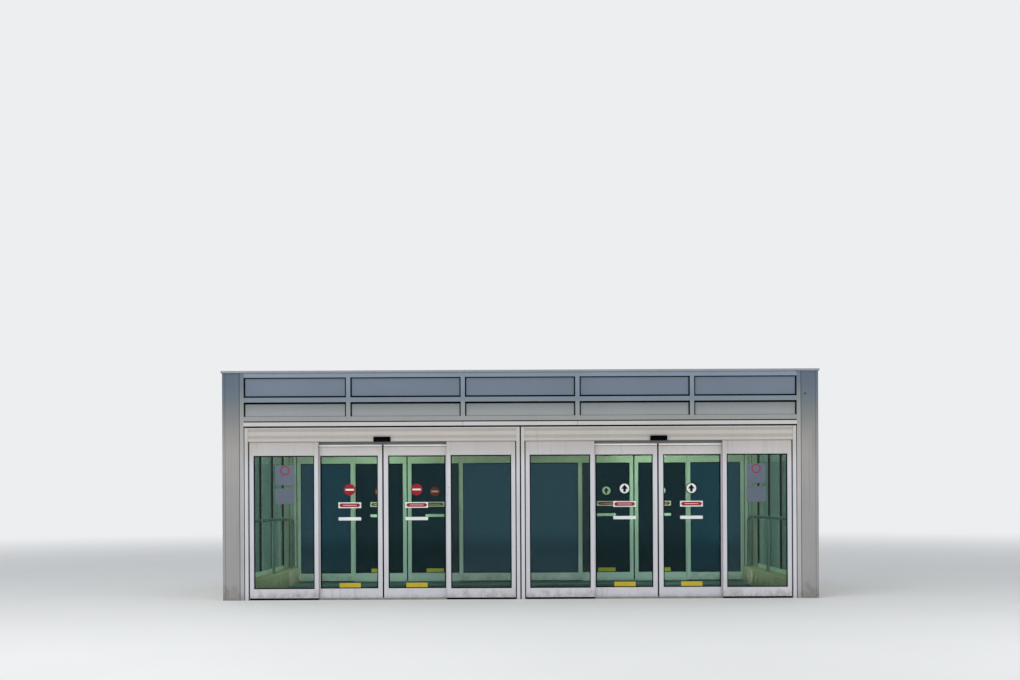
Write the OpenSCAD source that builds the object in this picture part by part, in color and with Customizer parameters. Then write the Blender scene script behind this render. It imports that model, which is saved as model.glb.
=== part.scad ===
// Glazed entrance lobby with automatic sliding doors.
// Two door rows stand one behind the other, each with two bi-parting sets:
// fixed sidelite, sliding leaf, sliding leaf, fixed sidelite.
// X runs along the front, Y runs inwards and Z runs up from the floor.
// The origin is on the ground at the centre of the lobby.

/* [Lobby] */
// Width over the corner posts
wall_w = 7924; // [7100:2:8800]
// Depth from the front face to the rear face
wall_d = 3360; // [3000:10:4200]
// Height to the underside of the coping
wall_h = 3022; // [2720:1:3400]
// Width of a corner post along the front
post_w = 226; // [200:1:255]
// Depth of a front corner post along the side
front_post_d = 388; // [350:2:500]
// Depth of a rear corner post along the side
rear_post_d = 628; // [560:2:700]
// Joint between a corner post and the jamb beside it
post_joint = 6; // [3:1:10]
// Face width of the full-height jamb at each end of the front
portal_jamb_w = 53; // [45:1:60]
// Depth of the full-height jamb
portal_jamb_d = 150; // [110:5:155]
// Hairline between butted pieces
hairline = 0.3; // [0.2:0.1:0.5]
// Chamfer on the long edges of the bars and uprights
edge = 1.5; // [0.5:0.5:3]

/* [Door set] */
// Joint between the two sets of a row
set_joint = 18; // [12:1:24]
// Joint between a door set and the full-height jamb beside it
side_set_joint = 10; // [6:1:20]
// Depth of a door set from its front face to its back
set_d = 160; // [155:1:180]
// Face width of a door jamb
jamb_w = 45; // [38:1:60]
// Height of the header
header_h = 186; // [176:1:200]
// Recess of a rubber joint behind the faces beside it
joint_recess = 12; // [5:1:18]

/* [Sill] */
// Height of the sill under the sidelites
sill_h = 20; // [17:1:26]
// Height of the sill under the leaves
leaf_sill_h = 12; // [8:1:14]
// Setback of the sill from the front face
sill_setback = 34; // [24:1:40]
// Bevel on the nose of the sill
sill_nose = 6; // [3:1:7]

/* [Sidelite] */
// Difference between the widths of a sidelite and of a leaf
sidelite_extra = 20; // [0:2:60]
// Joint between a sidelite and the jamb
sidelite_joint = 14; // [6:1:18]
// Setback of the sidelite from the front face
sidelite_setback = 20; // [12:1:24]
// Depth of the frames of sidelites and leaves
frame_d = 45; // [40:1:50]
// Face width of a sidelite stile
sidelite_stile_w = 52; // [46:1:75]
// Height of the sidelite top rail
sidelite_top_h = 183; // [150:1:200]

/* [Sliding leaf] */
// Gap between the backs of the sidelites and the leaves
leaf_gap_y = 15; // [8:1:17]
// Face width of a leaf stile
leaf_stile_w = 57; // [50:1:70]
// Gap between the two meeting stiles
meeting_gap = 20; // [12:1:30]
// Gap under a leaf
leaf_floor_gap = 7; // [6:1:12]
// Gap between a leaf and the header
leaf_head_gap = 38; // [24:1:44]
// Height of the hanging strip along the top of a leaf
strip_h = 30; // [25:1:45]
// Setback of the hanging strip behind the faces of the leaf
strip_setback = 2; // [1:1:5]
// Height of the lower edge of the glass above the ground
glass_low = 144; // [120:1:200]
// Width of a leaf that still stands in the opening when it is open
open_rest = 66; // [62:1:160]

/* [Glass] */
// Thickness of every pane
glass_t = 10; // [6:1:14]

/* [Header] */
// Wall of the header profile
header_wall = 6; // [4:1:7]
// Recess of the header's faces behind the faces of the jambs
header_recess = 6; // [4:1:8]
// Height of the lip along the foot of the header's face
fascia_lip_h = 38; // [12:1:44]
// Height of the recessed band above the lip
fascia_groove_h = 41; // [20:1:48]
// Height of the raised band above that
fascia_band_h = 53; // [30:1:60]
// Depth of the steps in the header's face
fascia_step = 3; // [1:0.5:4]
// Width of the lip at the foot of the header cover
cover_lip_w = 20; // [14:1:24]

/* [Track] */
// Height of the track ledge above the header's underside
ledge_up = 46; // [40:1:54]
// Radius of the bead that the wheels run on
bead_r = 4; // [3:0.5:4.5]
// Height of the top of the bead above the ledge
bead_h = 8; // [7:0.5:9]
// Clearance between the wheels or hangers and what stands beside them
track_gap = 6; // [5:0.5:7]
// Length of a stop at the end of the track
stop_l = 40; // [25:5:60]
// Height of a stop above the bead
stop_h = 34; // [25:1:40]

/* [Hanger] */
// Outer radius of a wheel
wheel_r = 21; // [18:0.5:23]
// Thickness of a wheel
wheel_t = 12; // [11:0.5:14]
// Depth of the groove in the rim of a wheel
groove_d = 4.5; // [3:0.5:5]
// Radius of a wheel axle
axle_r = 5; // [4:0.5:7]
// Radius of the head of an axle
axle_head_r = 9; // [8:0.5:11]
// Thickness of a hanger plate
hanger_t = 6; // [4:1:8]
// Length of a hanger plate
hanger_l = 150; // [130:5:200]
// Distance between the two wheels of a hanger
wheel_pitch = 90; // [60:5:100]
// Distance from the end of a leaf to the centre of a hanger
hanger_inset = 140; // [110:5:250]
// Width of the foot of a hanger
foot_w = 32; // [26:1:36]

/* [Sensor] */
// Width of a door sensor
sensor_w = 223; // [180:1:260]
// Height of a door sensor
sensor_h = 67; // [50:1:80]
// Depth of a door sensor
sensor_d = 45; // [35:1:60]
// Drop of the sensor below the underside of the header
sensor_drop = 5; // [0:1:10]

/* [Transom band] */
// Number of bays in the front
front_bay_count = 5; // [3:1:6]
// Length by which the end bays are shorter than the others
end_bay_less = 133; // [60:1:200]
// Face width of a mullion
mullion_w = 57; // [45:1:65]
// Depth of the mullions and bars of the front
mullion_d = 100; // [80:5:105]
// Height of a bar
bar_h = 62; // [50:1:66]
// Height between the bars of the lower row of panels
lower_panel_h = 190; // [150:1:240]
// Height between the bars of the upper row of panels
upper_panel_h = 266; // [200:1:320]
// Height of the lintel beam under the bars
lintel_h = 87; // [80:1:110]
// Thickness of an infill panel
panel_t = 25; // [15:1:40]
// Setback of the infill panels
panel_setback = 30; // [20:1:40]
// Setback of the lintel beam behind the front face
lintel_setback = 20; // [12:1:40]
// Height of the bright trim above the header
trim_h = 58; // [50:1:72]
// Projection of the trim in front of the lobby
trim_proud = 12; // [7:1:25]
// Bevel on both edges of the trim
trim_bevel = 6; // [2:1:7]

/* [Side wall] */
// Number of bays in a side wall
side_bays = 3; // [1:1:5]
// Depth of the side mullions
side_mullion_d = 150; // [100:5:170]
// Joint between two side panes
side_joint = 12; // [8:1:20]
// Height of the masonry plinth
plinth_h = 250; // [200:5:300]
// Width of the plinth ledge inside the lobby
ledge_in = 161; // [135:1:185]
// Setback of the plinth from the outer face of the corner posts
plinth_setback = 20; // [10:1:30]
// Radius of the worn inner edge of the plinth
plinth_round = 18; // [8:1:30]

/* [Guard rail] */
// Height of the top of the guard rail
rail_top = 1067; // [1000:1:1100]
// Radius of the rail tube
rail_r = 24; // [19:1:30]
// Radius of the bend at each end of the rail
rail_bend = 110; // [80:5:160]
// Distance from the end of the rail to the door row
rail_end_gap = 90; // [70:5:200]
// Distance from the rail to the inner edge of the plinth
rail_setback = 80; // [60:1:85]
// Radius of the flange under a rail post
flange_r = 44; // [38:1:48]
// Thickness of the flange under a rail post
flange_t = 8; // [5:1:12]

/* [Floor and ceiling] */
// Thickness of the floor
floor_t = 12; // [8:1:15]
// Thickness of the entrance mat
mat_t = 5; // [3:1:8]
// Border of bare floor around the mat
mat_border = 60; // [30:5:150]
// Thickness of the ceiling
ceiling_t = 12; // [8:1:20]
// Distance from each end of a ceiling light to the end of its door set
light_inset = 629; // [300:1:900]
// Width of a ceiling light
light_w = 150; // [100:5:300]
// Depth of a ceiling light
light_t = 30; // [20:1:50]
// Width of the bevel along a ceiling light
light_bevel = 18; // [6:1:19]

/* [Roof] */
// Thickness of the roof
roof_t = 32; // [20:1:60]
// Thickness of the coping at its outer edge
coping_t = 28; // [18:1:50]
// Fall of the coping towards the roof
coping_fall = 8; // [2:1:12]
// Overhang of the coping
coping_over = 15; // [5:1:30]
// Width of the coping
coping_w = 165; // [120:5:200]

/* [Hidden] */

// Colours as they look in daylight
SILVER = [0.80, 0.79, 0.78];
WARM_GREY = [0.66, 0.65, 0.62];
COOL_GREY = [0.60, 0.63, 0.67];
BEAM_GREY = [0.30, 0.31, 0.32];
PANEL = [0.50, 0.53, 0.55];
BLACK = [0.05, 0.05, 0.06];
GLASS = [0.35, 0.52, 0.46, 0.4];
STONE = [0.62, 0.56, 0.48];
MAT = [0.20, 0.24, 0.22];
STEEL = [0.70, 0.71, 0.72];
LIGHT = [0.95, 1, 0.9];

$fn = 48;

// Y of the front face of the outer and of the inner door row
front_y = -wall_d / 2;
row_y = [front_y, wall_d / 2 - set_d];

// Inner face of a corner post, then both edges of the jamb beside it
post_in = wall_w / 2 - post_w;
portal_out = post_in - post_joint;
portal_in = portal_out - portal_jamb_w;
// Y of the inner faces of the full-height jambs and of the front mullions
portal_back = -front_y - portal_jamb_d;
mullion_back = -front_y - mullion_d;

// Width of a door set over its jambs, and X of the centres of the exit set
// and of the entry set
set_w = portal_in - side_set_joint - set_joint / 2;
set_x = [-(set_joint + set_w) / 2, (set_joint + set_w) / 2];
// Half of the space between the jambs of a door set
half_clear = set_w / 2 - jamb_w;
// Half of the length of what butts between those jambs
half_fit = half_clear - hairline;

// Rows of bars above the doors, from the lower one to the top one
bar_high = wall_h - bar_h;
bar_mid = bar_high - upper_panel_h - bar_h;
bar_low = bar_mid - lower_panel_h - bar_h;
bar_z = [bar_low, bar_mid, bar_high];
header_top = bar_low - lintel_h;
// Clear height under the header
clear_h = header_top - header_h;

// Edges of a sidelite and of a leaf, from the centre of their door set. The
// stile of the sidelite covers the edge of the shut leaf.
leaf_in = meeting_gap / 2;
glazed_w = half_clear - sidelite_joint - leaf_in + sidelite_stile_w;
sidelite_w = (glazed_w + sidelite_extra) / 2;
leaf_w = (glazed_w - sidelite_extra) / 2;
sidelite_in = half_clear - sidelite_joint - sidelite_w;
travel = leaf_w - open_rest;
leaf_y = sidelite_setback + frame_d + leaf_gap_y;
leaf_low = leaf_sill_h + leaf_floor_gap;
leaf_top = clear_h - leaf_head_gap;
leaf_h = leaf_top - strip_h - hairline - leaf_low;
sidelite_h = clear_h - hairline - sill_h;
glass_high = clear_h - sidelite_top_h;

// Track, from front to back: the back of the header box, the bead under the
// wheels, then the hanger plate over the middle of the leaf
hanger_y = leaf_y + frame_d / 2;
bead_y = hanger_y - track_gap - wheel_t / 2;
web_back = bead_y - wheel_t / 2 - track_gap;
bead_top = clear_h + ledge_up + header_wall + bead_h;
wheel_z = bead_top + hairline + wheel_r - groove_d;
// Front of the lip on the header's face, and of the cover on its back
lip_y = header_recess - fascia_step;
cover_y = set_d - lip_y - header_wall;

// Mullion lines of the front
module_w = 2 * (portal_in + end_bay_less) / front_bay_count;
mullion_lines = [for (i = [1 : front_bay_count - 1]) (i - front_bay_count / 2) * module_w];

// Ends of a side wall between its posts, and its mullion lines
side_front = front_y + front_post_d;
side_rear = wall_d / 2 - rear_post_d;
side_y = side_front + hairline + mullion_w / 2;
side_module = (side_rear - hairline - mullion_w / 2 - side_y) / side_bays;
side_lines = [for (i = [0 : side_bays]) side_y + i * side_module];
side_mullion_x = post_in + glass_t + hairline;

plinth_in = post_in - ledge_in;
rail_x = plinth_in + rail_setback;
rail_z = rail_top - rail_r;
rail_end = wall_d / 2 - set_d - rail_end_gap;

// A box with its low corner at p and the size s.
module block(p, s) {
    translate(p) cube(s);
}

// A rectangle with its four corners chamfered.
module chamfered(w, h, c = edge) {
    polygon([[c, 0], [w - c, 0], [w, c], [w, h - c], [w - c, h], [c, h], [0, h - c], [0, c]]);
}

// Bars with chamfered long edges, from a low corner p and with the size s:
// upright, along X and along Y.
module bar_up(p, s) {
    translate(p) linear_extrude(s.z) chamfered(s.x, s.y);
}

module bar_x(p, s) {
    translate(p) run_x(0, s.x) chamfered(s.y, s.z);
}

module bar_y(p, s) {
    translate(p) run_y(0, s.y) chamfered(s.x, s.z);
}

// A profile drawn in the YZ plane, run along X from x0 for a length.
module run_x(x0, length) {
    translate([x0, 0, 0]) rotate([90, 0, 90]) linear_extrude(length) children();
}

// A profile drawn in the XZ plane, run along Y from y0 for a length.
module run_y(y0, length) {
    translate([0, y0 + length, 0]) rotate([90, 0, 0]) linear_extrude(length) children();
}

// A copy at each door set of each row.
module at_sets() {
    for (y = row_y, x = set_x) translate([x, y, 0]) children();
}

// The thing itself and its mirror image in X.
module both_sides() {
    children();
    mirror([1, 0, 0]) children();
}

// The thing itself and its mirror image in Y.
module both_ends() {
    children();
    mirror([0, 1, 0]) children();
}

// A glazed frame from its low front corner: two stiles of the full height
// with two rails butted between them.
module stile_and_rail(w, h, stile_w, low_h, top_h) {
    for (x = [0, w - stile_w]) bar_up([x, 0, 0], [stile_w, frame_d, h]);
    rail_x0 = stile_w + hairline;
    rail_l = w - 2 * rail_x0;
    bar_x([rail_x0, 0, 0], [rail_l, frame_d, low_h]);
    bar_x([rail_x0, 0, h - top_h], [rail_l, frame_d, top_h]);
}

// The pane that fills such a frame.
module pane(w, h, stile_w, low_h, top_h) {
    x0 = stile_w + hairline;
    block(
        [x0, (frame_d - glass_t) / 2, low_h + hairline],
        [w - 2 * x0, glass_t, h - low_h - top_h - 2 * hairline]
    );
}

// The start and the length of each bar between neighbouring mullions.
function bays(lines, first, last) = [
    for (i = [0 : len(lines)])
        let (x0 = i == 0 ? first : lines[i - 1] + mullion_w / 2)
        let (x1 = i == len(lines) ? last : lines[i] - mullion_w / 2)
        [x0 + hairline, x1 - x0 - 2 * hairline]
];

front_bays = bays(mullion_lines, -portal_in, portal_in);
side_bay_list = [for (i = [1 : side_bays]) bays(side_lines, side_front, side_rear)[i]];

// Concrete floor between the door rows and the plinths.
module floor_slab() {
    x = plinth_in - hairline;
    y0 = row_y[0] + set_d;
    color(STONE) block([-x, y0, 0], [2 * x, row_y[1] - y0, floor_t]);
}

// Entrance mat on the floor, with bevelled ends.
module entrance_mat() {
    x = plinth_in - mat_border;
    y0 = row_y[0] + set_d + mat_border;
    y1 = row_y[1] - mat_border;
    z1 = floor_t + mat_t;
    color(MAT) run_x(-x, 2 * x)
        polygon([[y0, floor_t], [y1, floor_t], [y1 - mat_t, z1], [y0 + mat_t, z1]]);
}

// Metal sill of every door set: high under the sidelites, low under the leaves.
module door_sills() {
    y0 = sill_setback;
    step_y = sidelite_setback + frame_d + sill_nose / 2;
    slope_y = step_y + sill_h - leaf_sill_h;
    color(STEEL) at_sets()
        run_x(-half_fit, 2 * half_fit)
            polygon([[y0, 0], [set_d, 0], [set_d, leaf_sill_h - sill_nose],
                     [set_d - sill_nose, leaf_sill_h], [slope_y, leaf_sill_h],
                     [step_y, sill_h], [y0 + sill_nose, sill_h], [y0, sill_h - sill_nose]]);
}

// Section of the plinth ledge, across X and Z, with its worn round edge.
module plinth_section() {
    translate([plinth_in + plinth_round, 0]) square([ledge_in - plinth_round - hairline, plinth_h]);
    translate([plinth_in, 0]) square([plinth_round, plinth_h - plinth_round]);
    translate([plinth_in + plinth_round, plinth_h - plinth_round]) circle(plinth_round);
}

// Masonry plinth on each side: a ledge inside the lobby, and the part that
// stands under the side wall between the corner posts.
module side_plinths() {
    ledge_y = row_y[0] + set_d + hairline;
    out_x = wall_w / 2 - plinth_setback;
    color(STONE) both_sides() {
        run_y(ledge_y, row_y[1] - hairline - ledge_y) plinth_section();
        block([post_in, side_front + hairline, 0],
              [out_x - post_in, side_rear - side_front - 2 * hairline, plinth_h]);
    }
}

// Clad post at each corner of the lobby.
module corner_posts() {
    color(WARM_GREY) both_sides() {
        bar_up([post_in, front_y, 0], [post_w, front_post_d, wall_h]);
        bar_up([post_in, side_rear, 0], [post_w, rear_post_d, wall_h]);
    }
}

// Full-height jamb beside each corner post.
module portal_jambs() {
    color(SILVER) both_sides() both_ends()
        bar_up([portal_in, front_y, 0], [portal_jamb_w, portal_jamb_d, wall_h]);
}

// Tubes at both ends of every door set.
module door_jambs() {
    color(SILVER) at_sets() both_sides()
        bar_up([half_clear, 0, 0], [jamb_w, set_d, header_top]);
}

// Black rubber between the two sets of a row, on both sides of each set, and
// between jambs and sidelites.
module rubber_joints() {
    color(BLACK) {
        for (y = row_y)
            block([-set_joint / 2 + hairline, y + joint_recess, 0],
                  [set_joint - 2 * hairline, set_d - 2 * joint_recess, header_top]);
        both_sides() both_ends()
            block([portal_in - side_set_joint + hairline, front_y + joint_recess, 0],
                  [side_set_joint - 2 * hairline, portal_jamb_d - 2 * joint_recess, header_top]);
        at_sets() both_sides()
            block([half_clear - sidelite_joint + hairline, sidelite_setback + joint_recess, sill_h],
                  [sidelite_joint - 2 * hairline, frame_d - joint_recess, sidelite_h]);
    }
}

// Face of the header, across Y and Z: a lip along its foot, then a recessed
// band, a raised band and another recessed band.
module fascia_section() {
    groove_y = header_recess + fascia_step;
    band_z = clear_h + fascia_lip_h + fascia_groove_h;
    translate([groove_y, clear_h]) square([web_back - groove_y, header_h]);
    translate([lip_y, clear_h]) square([web_back - lip_y, fascia_lip_h]);
    translate([header_recess, band_z]) square([web_back - header_recess, fascia_band_h]);
}

// Section of the header: a closed box over the sidelites, whose back carries
// the track, and the top behind it.
module header_section() {
    hollow_y = header_recess + fascia_step + header_wall;
    difference() {
        fascia_section();
        translate([hollow_y, clear_h + header_wall])
            square([web_back - header_wall - hollow_y, header_h - 2 * header_wall]);
    }
    web_y = web_back - header_wall;
    translate([web_y, header_top - header_wall]) square([cover_y - hairline - web_y, header_wall]);
    translate([web_y, clear_h + ledge_up]) square([bead_y + bead_r - web_y, header_wall]);
    translate([bead_y - bead_r / 2, bead_top - bead_h]) square([bead_r, bead_h - bead_r]);
    translate([bead_y, bead_top - bead_r]) circle(bead_r);
}

// Header of every door set.
module header_channels() {
    color(SILVER) at_sets() run_x(-half_fit, 2 * half_fit) header_section();
}

// Removable cover on the inner side of every header, with a lip below.
module header_covers() {
    lip_z = clear_h + hairline;
    color(SILVER) at_sets() run_x(-half_fit, 2 * half_fit) {
        translate([cover_y, lip_z]) square([header_wall, header_h - hairline]);
        translate([cover_y + header_wall - cover_lip_w, lip_z]) square([cover_lip_w, header_wall]);
    }
}

// Section of a door sensor, across Y and Z, with its back at Y = 0. The lower
// front corner slopes back, so that it looks down at the floor.
module sensor_section() {
    slope = sensor_d / 2;
    bevel = sensor_d / 5;
    polygon([[0, 0], [-sensor_d + slope, 0], [-sensor_d, slope],
             [-sensor_d, sensor_h - bevel], [-sensor_d + bevel, sensor_h], [0, sensor_h]]);
}

// A sensor over the middle of every door set, on both faces of the header.
module door_sensors() {
    front_face = lip_y - hairline;
    rear_face = cover_y + header_wall + hairline;
    color(BLACK) at_sets() translate([-sensor_w / 2, 0, clear_h - sensor_drop]) {
        translate([0, front_face, 0]) run_x(0, sensor_w) sensor_section();
        translate([0, rear_face, 0]) run_x(0, sensor_w) mirror([1, 0]) sensor_section();
    }
}

// Stops on the track, where the hangers of the open leaves end.
module track_stops() {
    hanger_end = leaf_in + leaf_w - hanger_inset + hanger_l / 2;
    x = hanger_end + travel + track_gap;
    color(BLACK) at_sets() both_sides()
        bar_x([x, web_back + hairline, bead_top + hairline],
              [stop_l, hanger_y + hanger_t - web_back, stop_h]);
}

// Beam on the headers, which carries the band of panels.
module lintel_beams() {
    x = portal_in - hairline;
    color(BEAM_GREY) both_ends()
        block([-x, front_y + lintel_setback, header_top],
              [2 * x, set_d - lintel_setback, bar_low - header_top]);
}

// Bright trim on the front of each lintel beam.
module header_trims() {
    x = portal_in - hairline;
    z0 = (header_top + bar_low - trim_h) / 2;
    z1 = z0 + trim_h;
    y0 = -trim_proud;
    y1 = lintel_setback;
    color(SILVER) both_ends() translate([0, front_y, 0])
        run_x(-x, 2 * x)
            polygon([[y1, z0], [y0 + trim_bevel, z0], [y0, z0 + trim_bevel],
                     [y0, z1 - trim_bevel], [y0 + trim_bevel, z1], [y1, z1]]);
}

// A copy at the low front corner of each sidelite.
module at_sidelites() {
    at_sets() both_sides() translate([sidelite_in, sidelite_setback, sill_h]) children();
}

// Fixed frames at both ends of every door set.
module sidelite_frames() {
    color(SILVER) at_sidelites()
        stile_and_rail(sidelite_w, sidelite_h, sidelite_stile_w,
                       glass_low - sill_h, sidelite_top_h - hairline);
}

module sidelite_glass() {
    color(GLASS) at_sidelites()
        pane(sidelite_w, sidelite_h, sidelite_stile_w,
             glass_low - sill_h, sidelite_top_h - hairline);
}

// Mullions of the front with the bars butted between them.
module transom_frame() {
    for (x = mullion_lines)
        bar_up([x - mullion_w / 2, front_y, bar_low], [mullion_w, mullion_d, wall_h - bar_low]);
    for (z = bar_z, bay = front_bays)
        bar_x([bay[0], front_y, z], [bay[1], mullion_d, bar_h]);
}

module front_transom_frame() {
    color(COOL_GREY) transom_frame();
}

module rear_transom_frame() {
    color(COOL_GREY) mirror([0, 1, 0]) transom_frame();
}

// Infill panels on all four sides, above the given row of bars.
module panel_row(row) {
    z = bar_z[row] + bar_h + hairline;
    h = bar_z[row + 1] - hairline - z;
    both_ends() for (bay = front_bays)
        block([bay[0], front_y + panel_setback, z], [bay[1], panel_t, h]);
    x = side_mullion_x + side_mullion_d - panel_setback - panel_t;
    both_sides() for (bay = side_bay_list)
        block([x, bay[0], z], [panel_t, bay[1], h]);
}

module lower_transom_panels() {
    color(PANEL) panel_row(0);
}

module upper_transom_panels() {
    color(PANEL) panel_row(1);
}

// Sill, mullions and bars of each side wall. The glass lies on their inner face.
module side_wall_frames() {
    sill_y = side_front + hairline;
    post_z = plinth_h + bar_h + hairline;
    color(COOL_GREY) both_sides() {
        bar_y([post_in, sill_y, plinth_h],
              [side_mullion_x + side_mullion_d - post_in, side_rear - hairline - sill_y, bar_h]);
        for (y = side_lines)
            bar_up([side_mullion_x, y - mullion_w / 2, post_z],
                   [side_mullion_d, mullion_w, wall_h - post_z]);
        for (z = bar_z, bay = side_bay_list)
            bar_y([side_mullion_x, bay[0], z], [side_mullion_d, bay[1], bar_h]);
    }
}

// Panes between the mullion lines, which end behind the lower bars.
module side_wall_glass() {
    z = plinth_h + bar_h + hairline;
    color(GLASS) both_sides() for (i = [0 : side_bays - 1])
        block([post_in, side_lines[i] + side_joint / 2, z],
              [glass_t, side_module - side_joint, bar_low + bar_h / 2 - z]);
}

// Rail along each side, bent down at both ends to posts on the plinth.
module guard_rails() {
    straight = rail_end - rail_bend;
    post_z = plinth_h + flange_t;
    color(STEEL) both_sides() translate([rail_x, 0, 0]) {
        translate([0, -straight, rail_z]) rotate([-90, 0, 0]) cylinder(r = rail_r, h = 2 * straight);
        both_ends() translate([0, straight, rail_z - rail_bend])
            rotate([90, 0, 90]) rotate_extrude(angle = 90) translate([rail_bend, 0]) circle(rail_r);
        for (y = [-rail_end, 0, rail_end]) {
            top = y == 0 ? rail_z : rail_z - rail_bend;
            translate([0, y, plinth_h]) cylinder(r = flange_r, h = flange_t);
            translate([0, y, post_z]) cylinder(r = rail_r, h = top - post_z);
        }
    }
}

// A plan that is narrow between the full-height jambs and wide between the
// corner posts.
module inner_plan() {
    square(2 * [portal_in - hairline, mullion_back - hairline], center = true);
    square(2 * [post_in - hairline, portal_back - hairline], center = true);
}

// Ceiling, which rests on both lintel beams.
module ceiling() {
    color(SILVER) translate([0, 0, bar_low]) linear_extrude(ceiling_t) inner_plan();
}

// Two light strips with bevelled edges under the ceiling.
module ceiling_lights() {
    z1 = bar_low - hairline;
    z0 = z1 - light_t;
    y = light_w / 2;
    half = set_w / 2 - light_inset;
    color(LIGHT) for (x = set_x)
        run_x(x - half, 2 * half)
            polygon([[-y + light_bevel, z0], [y - light_bevel, z0], [y, z0 + light_bevel],
                     [y, z1], [-y, z1], [-y, z0 + light_bevel]]);
}

// Flat roof inside the frames and posts, out to the side mullions.
module roof_deck() {
    x = side_mullion_x - hairline;
    y = side_front + hairline;
    color(WARM_GREY) translate([0, 0, wall_h - roof_t]) linear_extrude(roof_t) {
        inner_plan();
        translate([-x, y]) square([2 * x, side_rear - hairline - y]);
    }
}

// Section of the coping, across Y and Z, from its outer edge at Y = 0.
module coping_section() {
    polygon([[0, 0], [coping_w, 0], [coping_w, coping_t - coping_fall], [0, coping_t]]);
}

// One mitred length of coping, along X, with its outer edge at Y = 0.
module coping_length(half) {
    end = half - hairline;
    intersection() {
        run_x(-half, 2 * half) coping_section();
        linear_extrude(coping_t)
            polygon([[-end, 0], [end, 0], [end - coping_w, coping_w], [coping_w - end, coping_w]]);
    }
}

// Metal coping around the top, falling towards the roof.
module roof_coping() {
    x = wall_w / 2 + coping_over;
    y = wall_d / 2 + coping_over;
    color(SILVER) translate([0, 0, wall_h]) {
        both_ends() translate([0, -y, 0]) coping_length(x);
        both_sides() translate([x, 0, 0]) rotate([0, 0, 90]) coping_length(y);
    }
}

// A wheel with a round groove in its rim, about its own centre.
module wheel() {
    rotate_extrude() difference() {
        translate([0, -wheel_t / 2]) square([wheel_r, wheel_t]);
        translate([wheel_r - groove_d + bead_r, 0]) circle(bead_r + hairline);
    }
}

// One hanger, at x along the leaf: a foot and a plate with two grooved wheels
// on its front.
module hanger(x) {
    foot_z = leaf_top + hairline;
    plate_h = wheel_z + axle_head_r - foot_z;
    block([x - hanger_l / 2, hanger_y + hanger_t - foot_w, foot_z], [hanger_l, foot_w, hanger_t]);
    block([x - hanger_l / 2, hanger_y, foot_z], [hanger_l, hanger_t, plate_h]);
    for (side = [-1, 1]) translate([x + side * wheel_pitch / 2, bead_y, wheel_z])
        rotate([-90, 0, 0]) {
            wheel();
            cylinder(r = axle_r, h = hanger_y + hanger_t / 2 - bead_y);
            translate([0, 0, -wheel_t / 2 - hanger_t / 3]) cylinder(r = axle_head_r, h = hanger_t / 2);
        }
}

// Frame of a leaf at the right of the middle of its door set, with the
// strip that it hangs from and the two hangers.
module leaf_frame() {
    translate([leaf_in, leaf_y, leaf_low])
        stile_and_rail(leaf_w, leaf_h, leaf_stile_w,
                       glass_low - leaf_low, leaf_low + leaf_h - glass_high);
    bar_x([leaf_in, leaf_y + strip_setback, leaf_top - strip_h],
          [leaf_w, frame_d - 2 * strip_setback, strip_h]);
    for (x = [leaf_in + hanger_inset, leaf_in + leaf_w - hanger_inset]) hanger(x);
}

module leaf_pane() {
    translate([leaf_in, leaf_y, leaf_low])
        pane(leaf_w, leaf_h, leaf_stile_w, glass_low - leaf_low, leaf_low + leaf_h - glass_high);
}

// A leaf piece in its place: row 0 is the outer one, set 0 is the exit and
// hand 0 is the left leaf.
module in_leaf(row, set, hand) {
    translate([set_x[set], row_y[row], 0]) mirror([1 - hand, 0, 0]) children();
}

floor_slab();
entrance_mat();
door_sills();
side_plinths();
corner_posts();
portal_jambs();
door_jambs();
rubber_joints();
header_channels();
header_covers();
door_sensors();
track_stops();
lintel_beams();
header_trims();
sidelite_frames();
sidelite_glass();
front_transom_frame();
rear_transom_frame();
lower_transom_panels();
upper_transom_panels();
side_wall_frames();
side_wall_glass();
guard_rails();
ceiling();
ceiling_lights();
roof_deck();
roof_coping();

// The frames and panes of the eight sliding leaves
ROWS = ["outer", "inner"];
SETS = ["exit", "entry"];
HANDS = ["left", "right"];
for (row = [0, 1], set = [0, 1], hand = [0, 1]) {
    leaf = str(ROWS[row], "_", SETS[set], "_", HANDS[hand]);
    color(SILVER) in_leaf(row, set, hand) leaf_frame();
    color(GLASS) in_leaf(row, set, hand) leaf_pane();
}
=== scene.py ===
"""Looks of a glazed entrance lobby with two rows of automatic sliding doors.

The solids come from the frame. This script gives them their finishes, adds the
small pieces that the solids leave out, and sets the light and the camera.
Lengths are in metres: X runs along the front, Y inwards and Z up.
"""

import logging
import math
from dataclasses import dataclass
from enum import Enum
from typing import Callable, Iterable, Sequence

import bpy
import numpy as np
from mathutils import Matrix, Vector


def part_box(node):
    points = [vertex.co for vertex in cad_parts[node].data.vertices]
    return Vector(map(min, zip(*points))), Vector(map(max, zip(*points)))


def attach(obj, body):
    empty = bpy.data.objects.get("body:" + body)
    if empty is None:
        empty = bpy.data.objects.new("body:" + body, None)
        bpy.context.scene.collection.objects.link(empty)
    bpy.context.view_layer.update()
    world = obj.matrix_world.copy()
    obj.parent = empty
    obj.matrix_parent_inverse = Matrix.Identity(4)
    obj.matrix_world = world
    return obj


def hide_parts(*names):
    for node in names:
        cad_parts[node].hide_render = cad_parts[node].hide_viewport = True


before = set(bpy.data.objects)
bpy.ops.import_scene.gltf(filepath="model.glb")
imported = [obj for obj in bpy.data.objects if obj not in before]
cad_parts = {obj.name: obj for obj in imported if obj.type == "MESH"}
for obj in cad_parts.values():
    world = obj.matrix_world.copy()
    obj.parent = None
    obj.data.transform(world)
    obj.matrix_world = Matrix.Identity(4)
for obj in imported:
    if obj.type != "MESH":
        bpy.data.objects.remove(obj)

LOG = logging.getLogger("lobby")
Array = np.ndarray
Socket = bpy.types.NodeSocket
Value = float | Sequence[float] | Socket
Colour = tuple[int, int, int]
Pair = tuple[float, float]
Triple = tuple[float, float, float]
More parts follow.
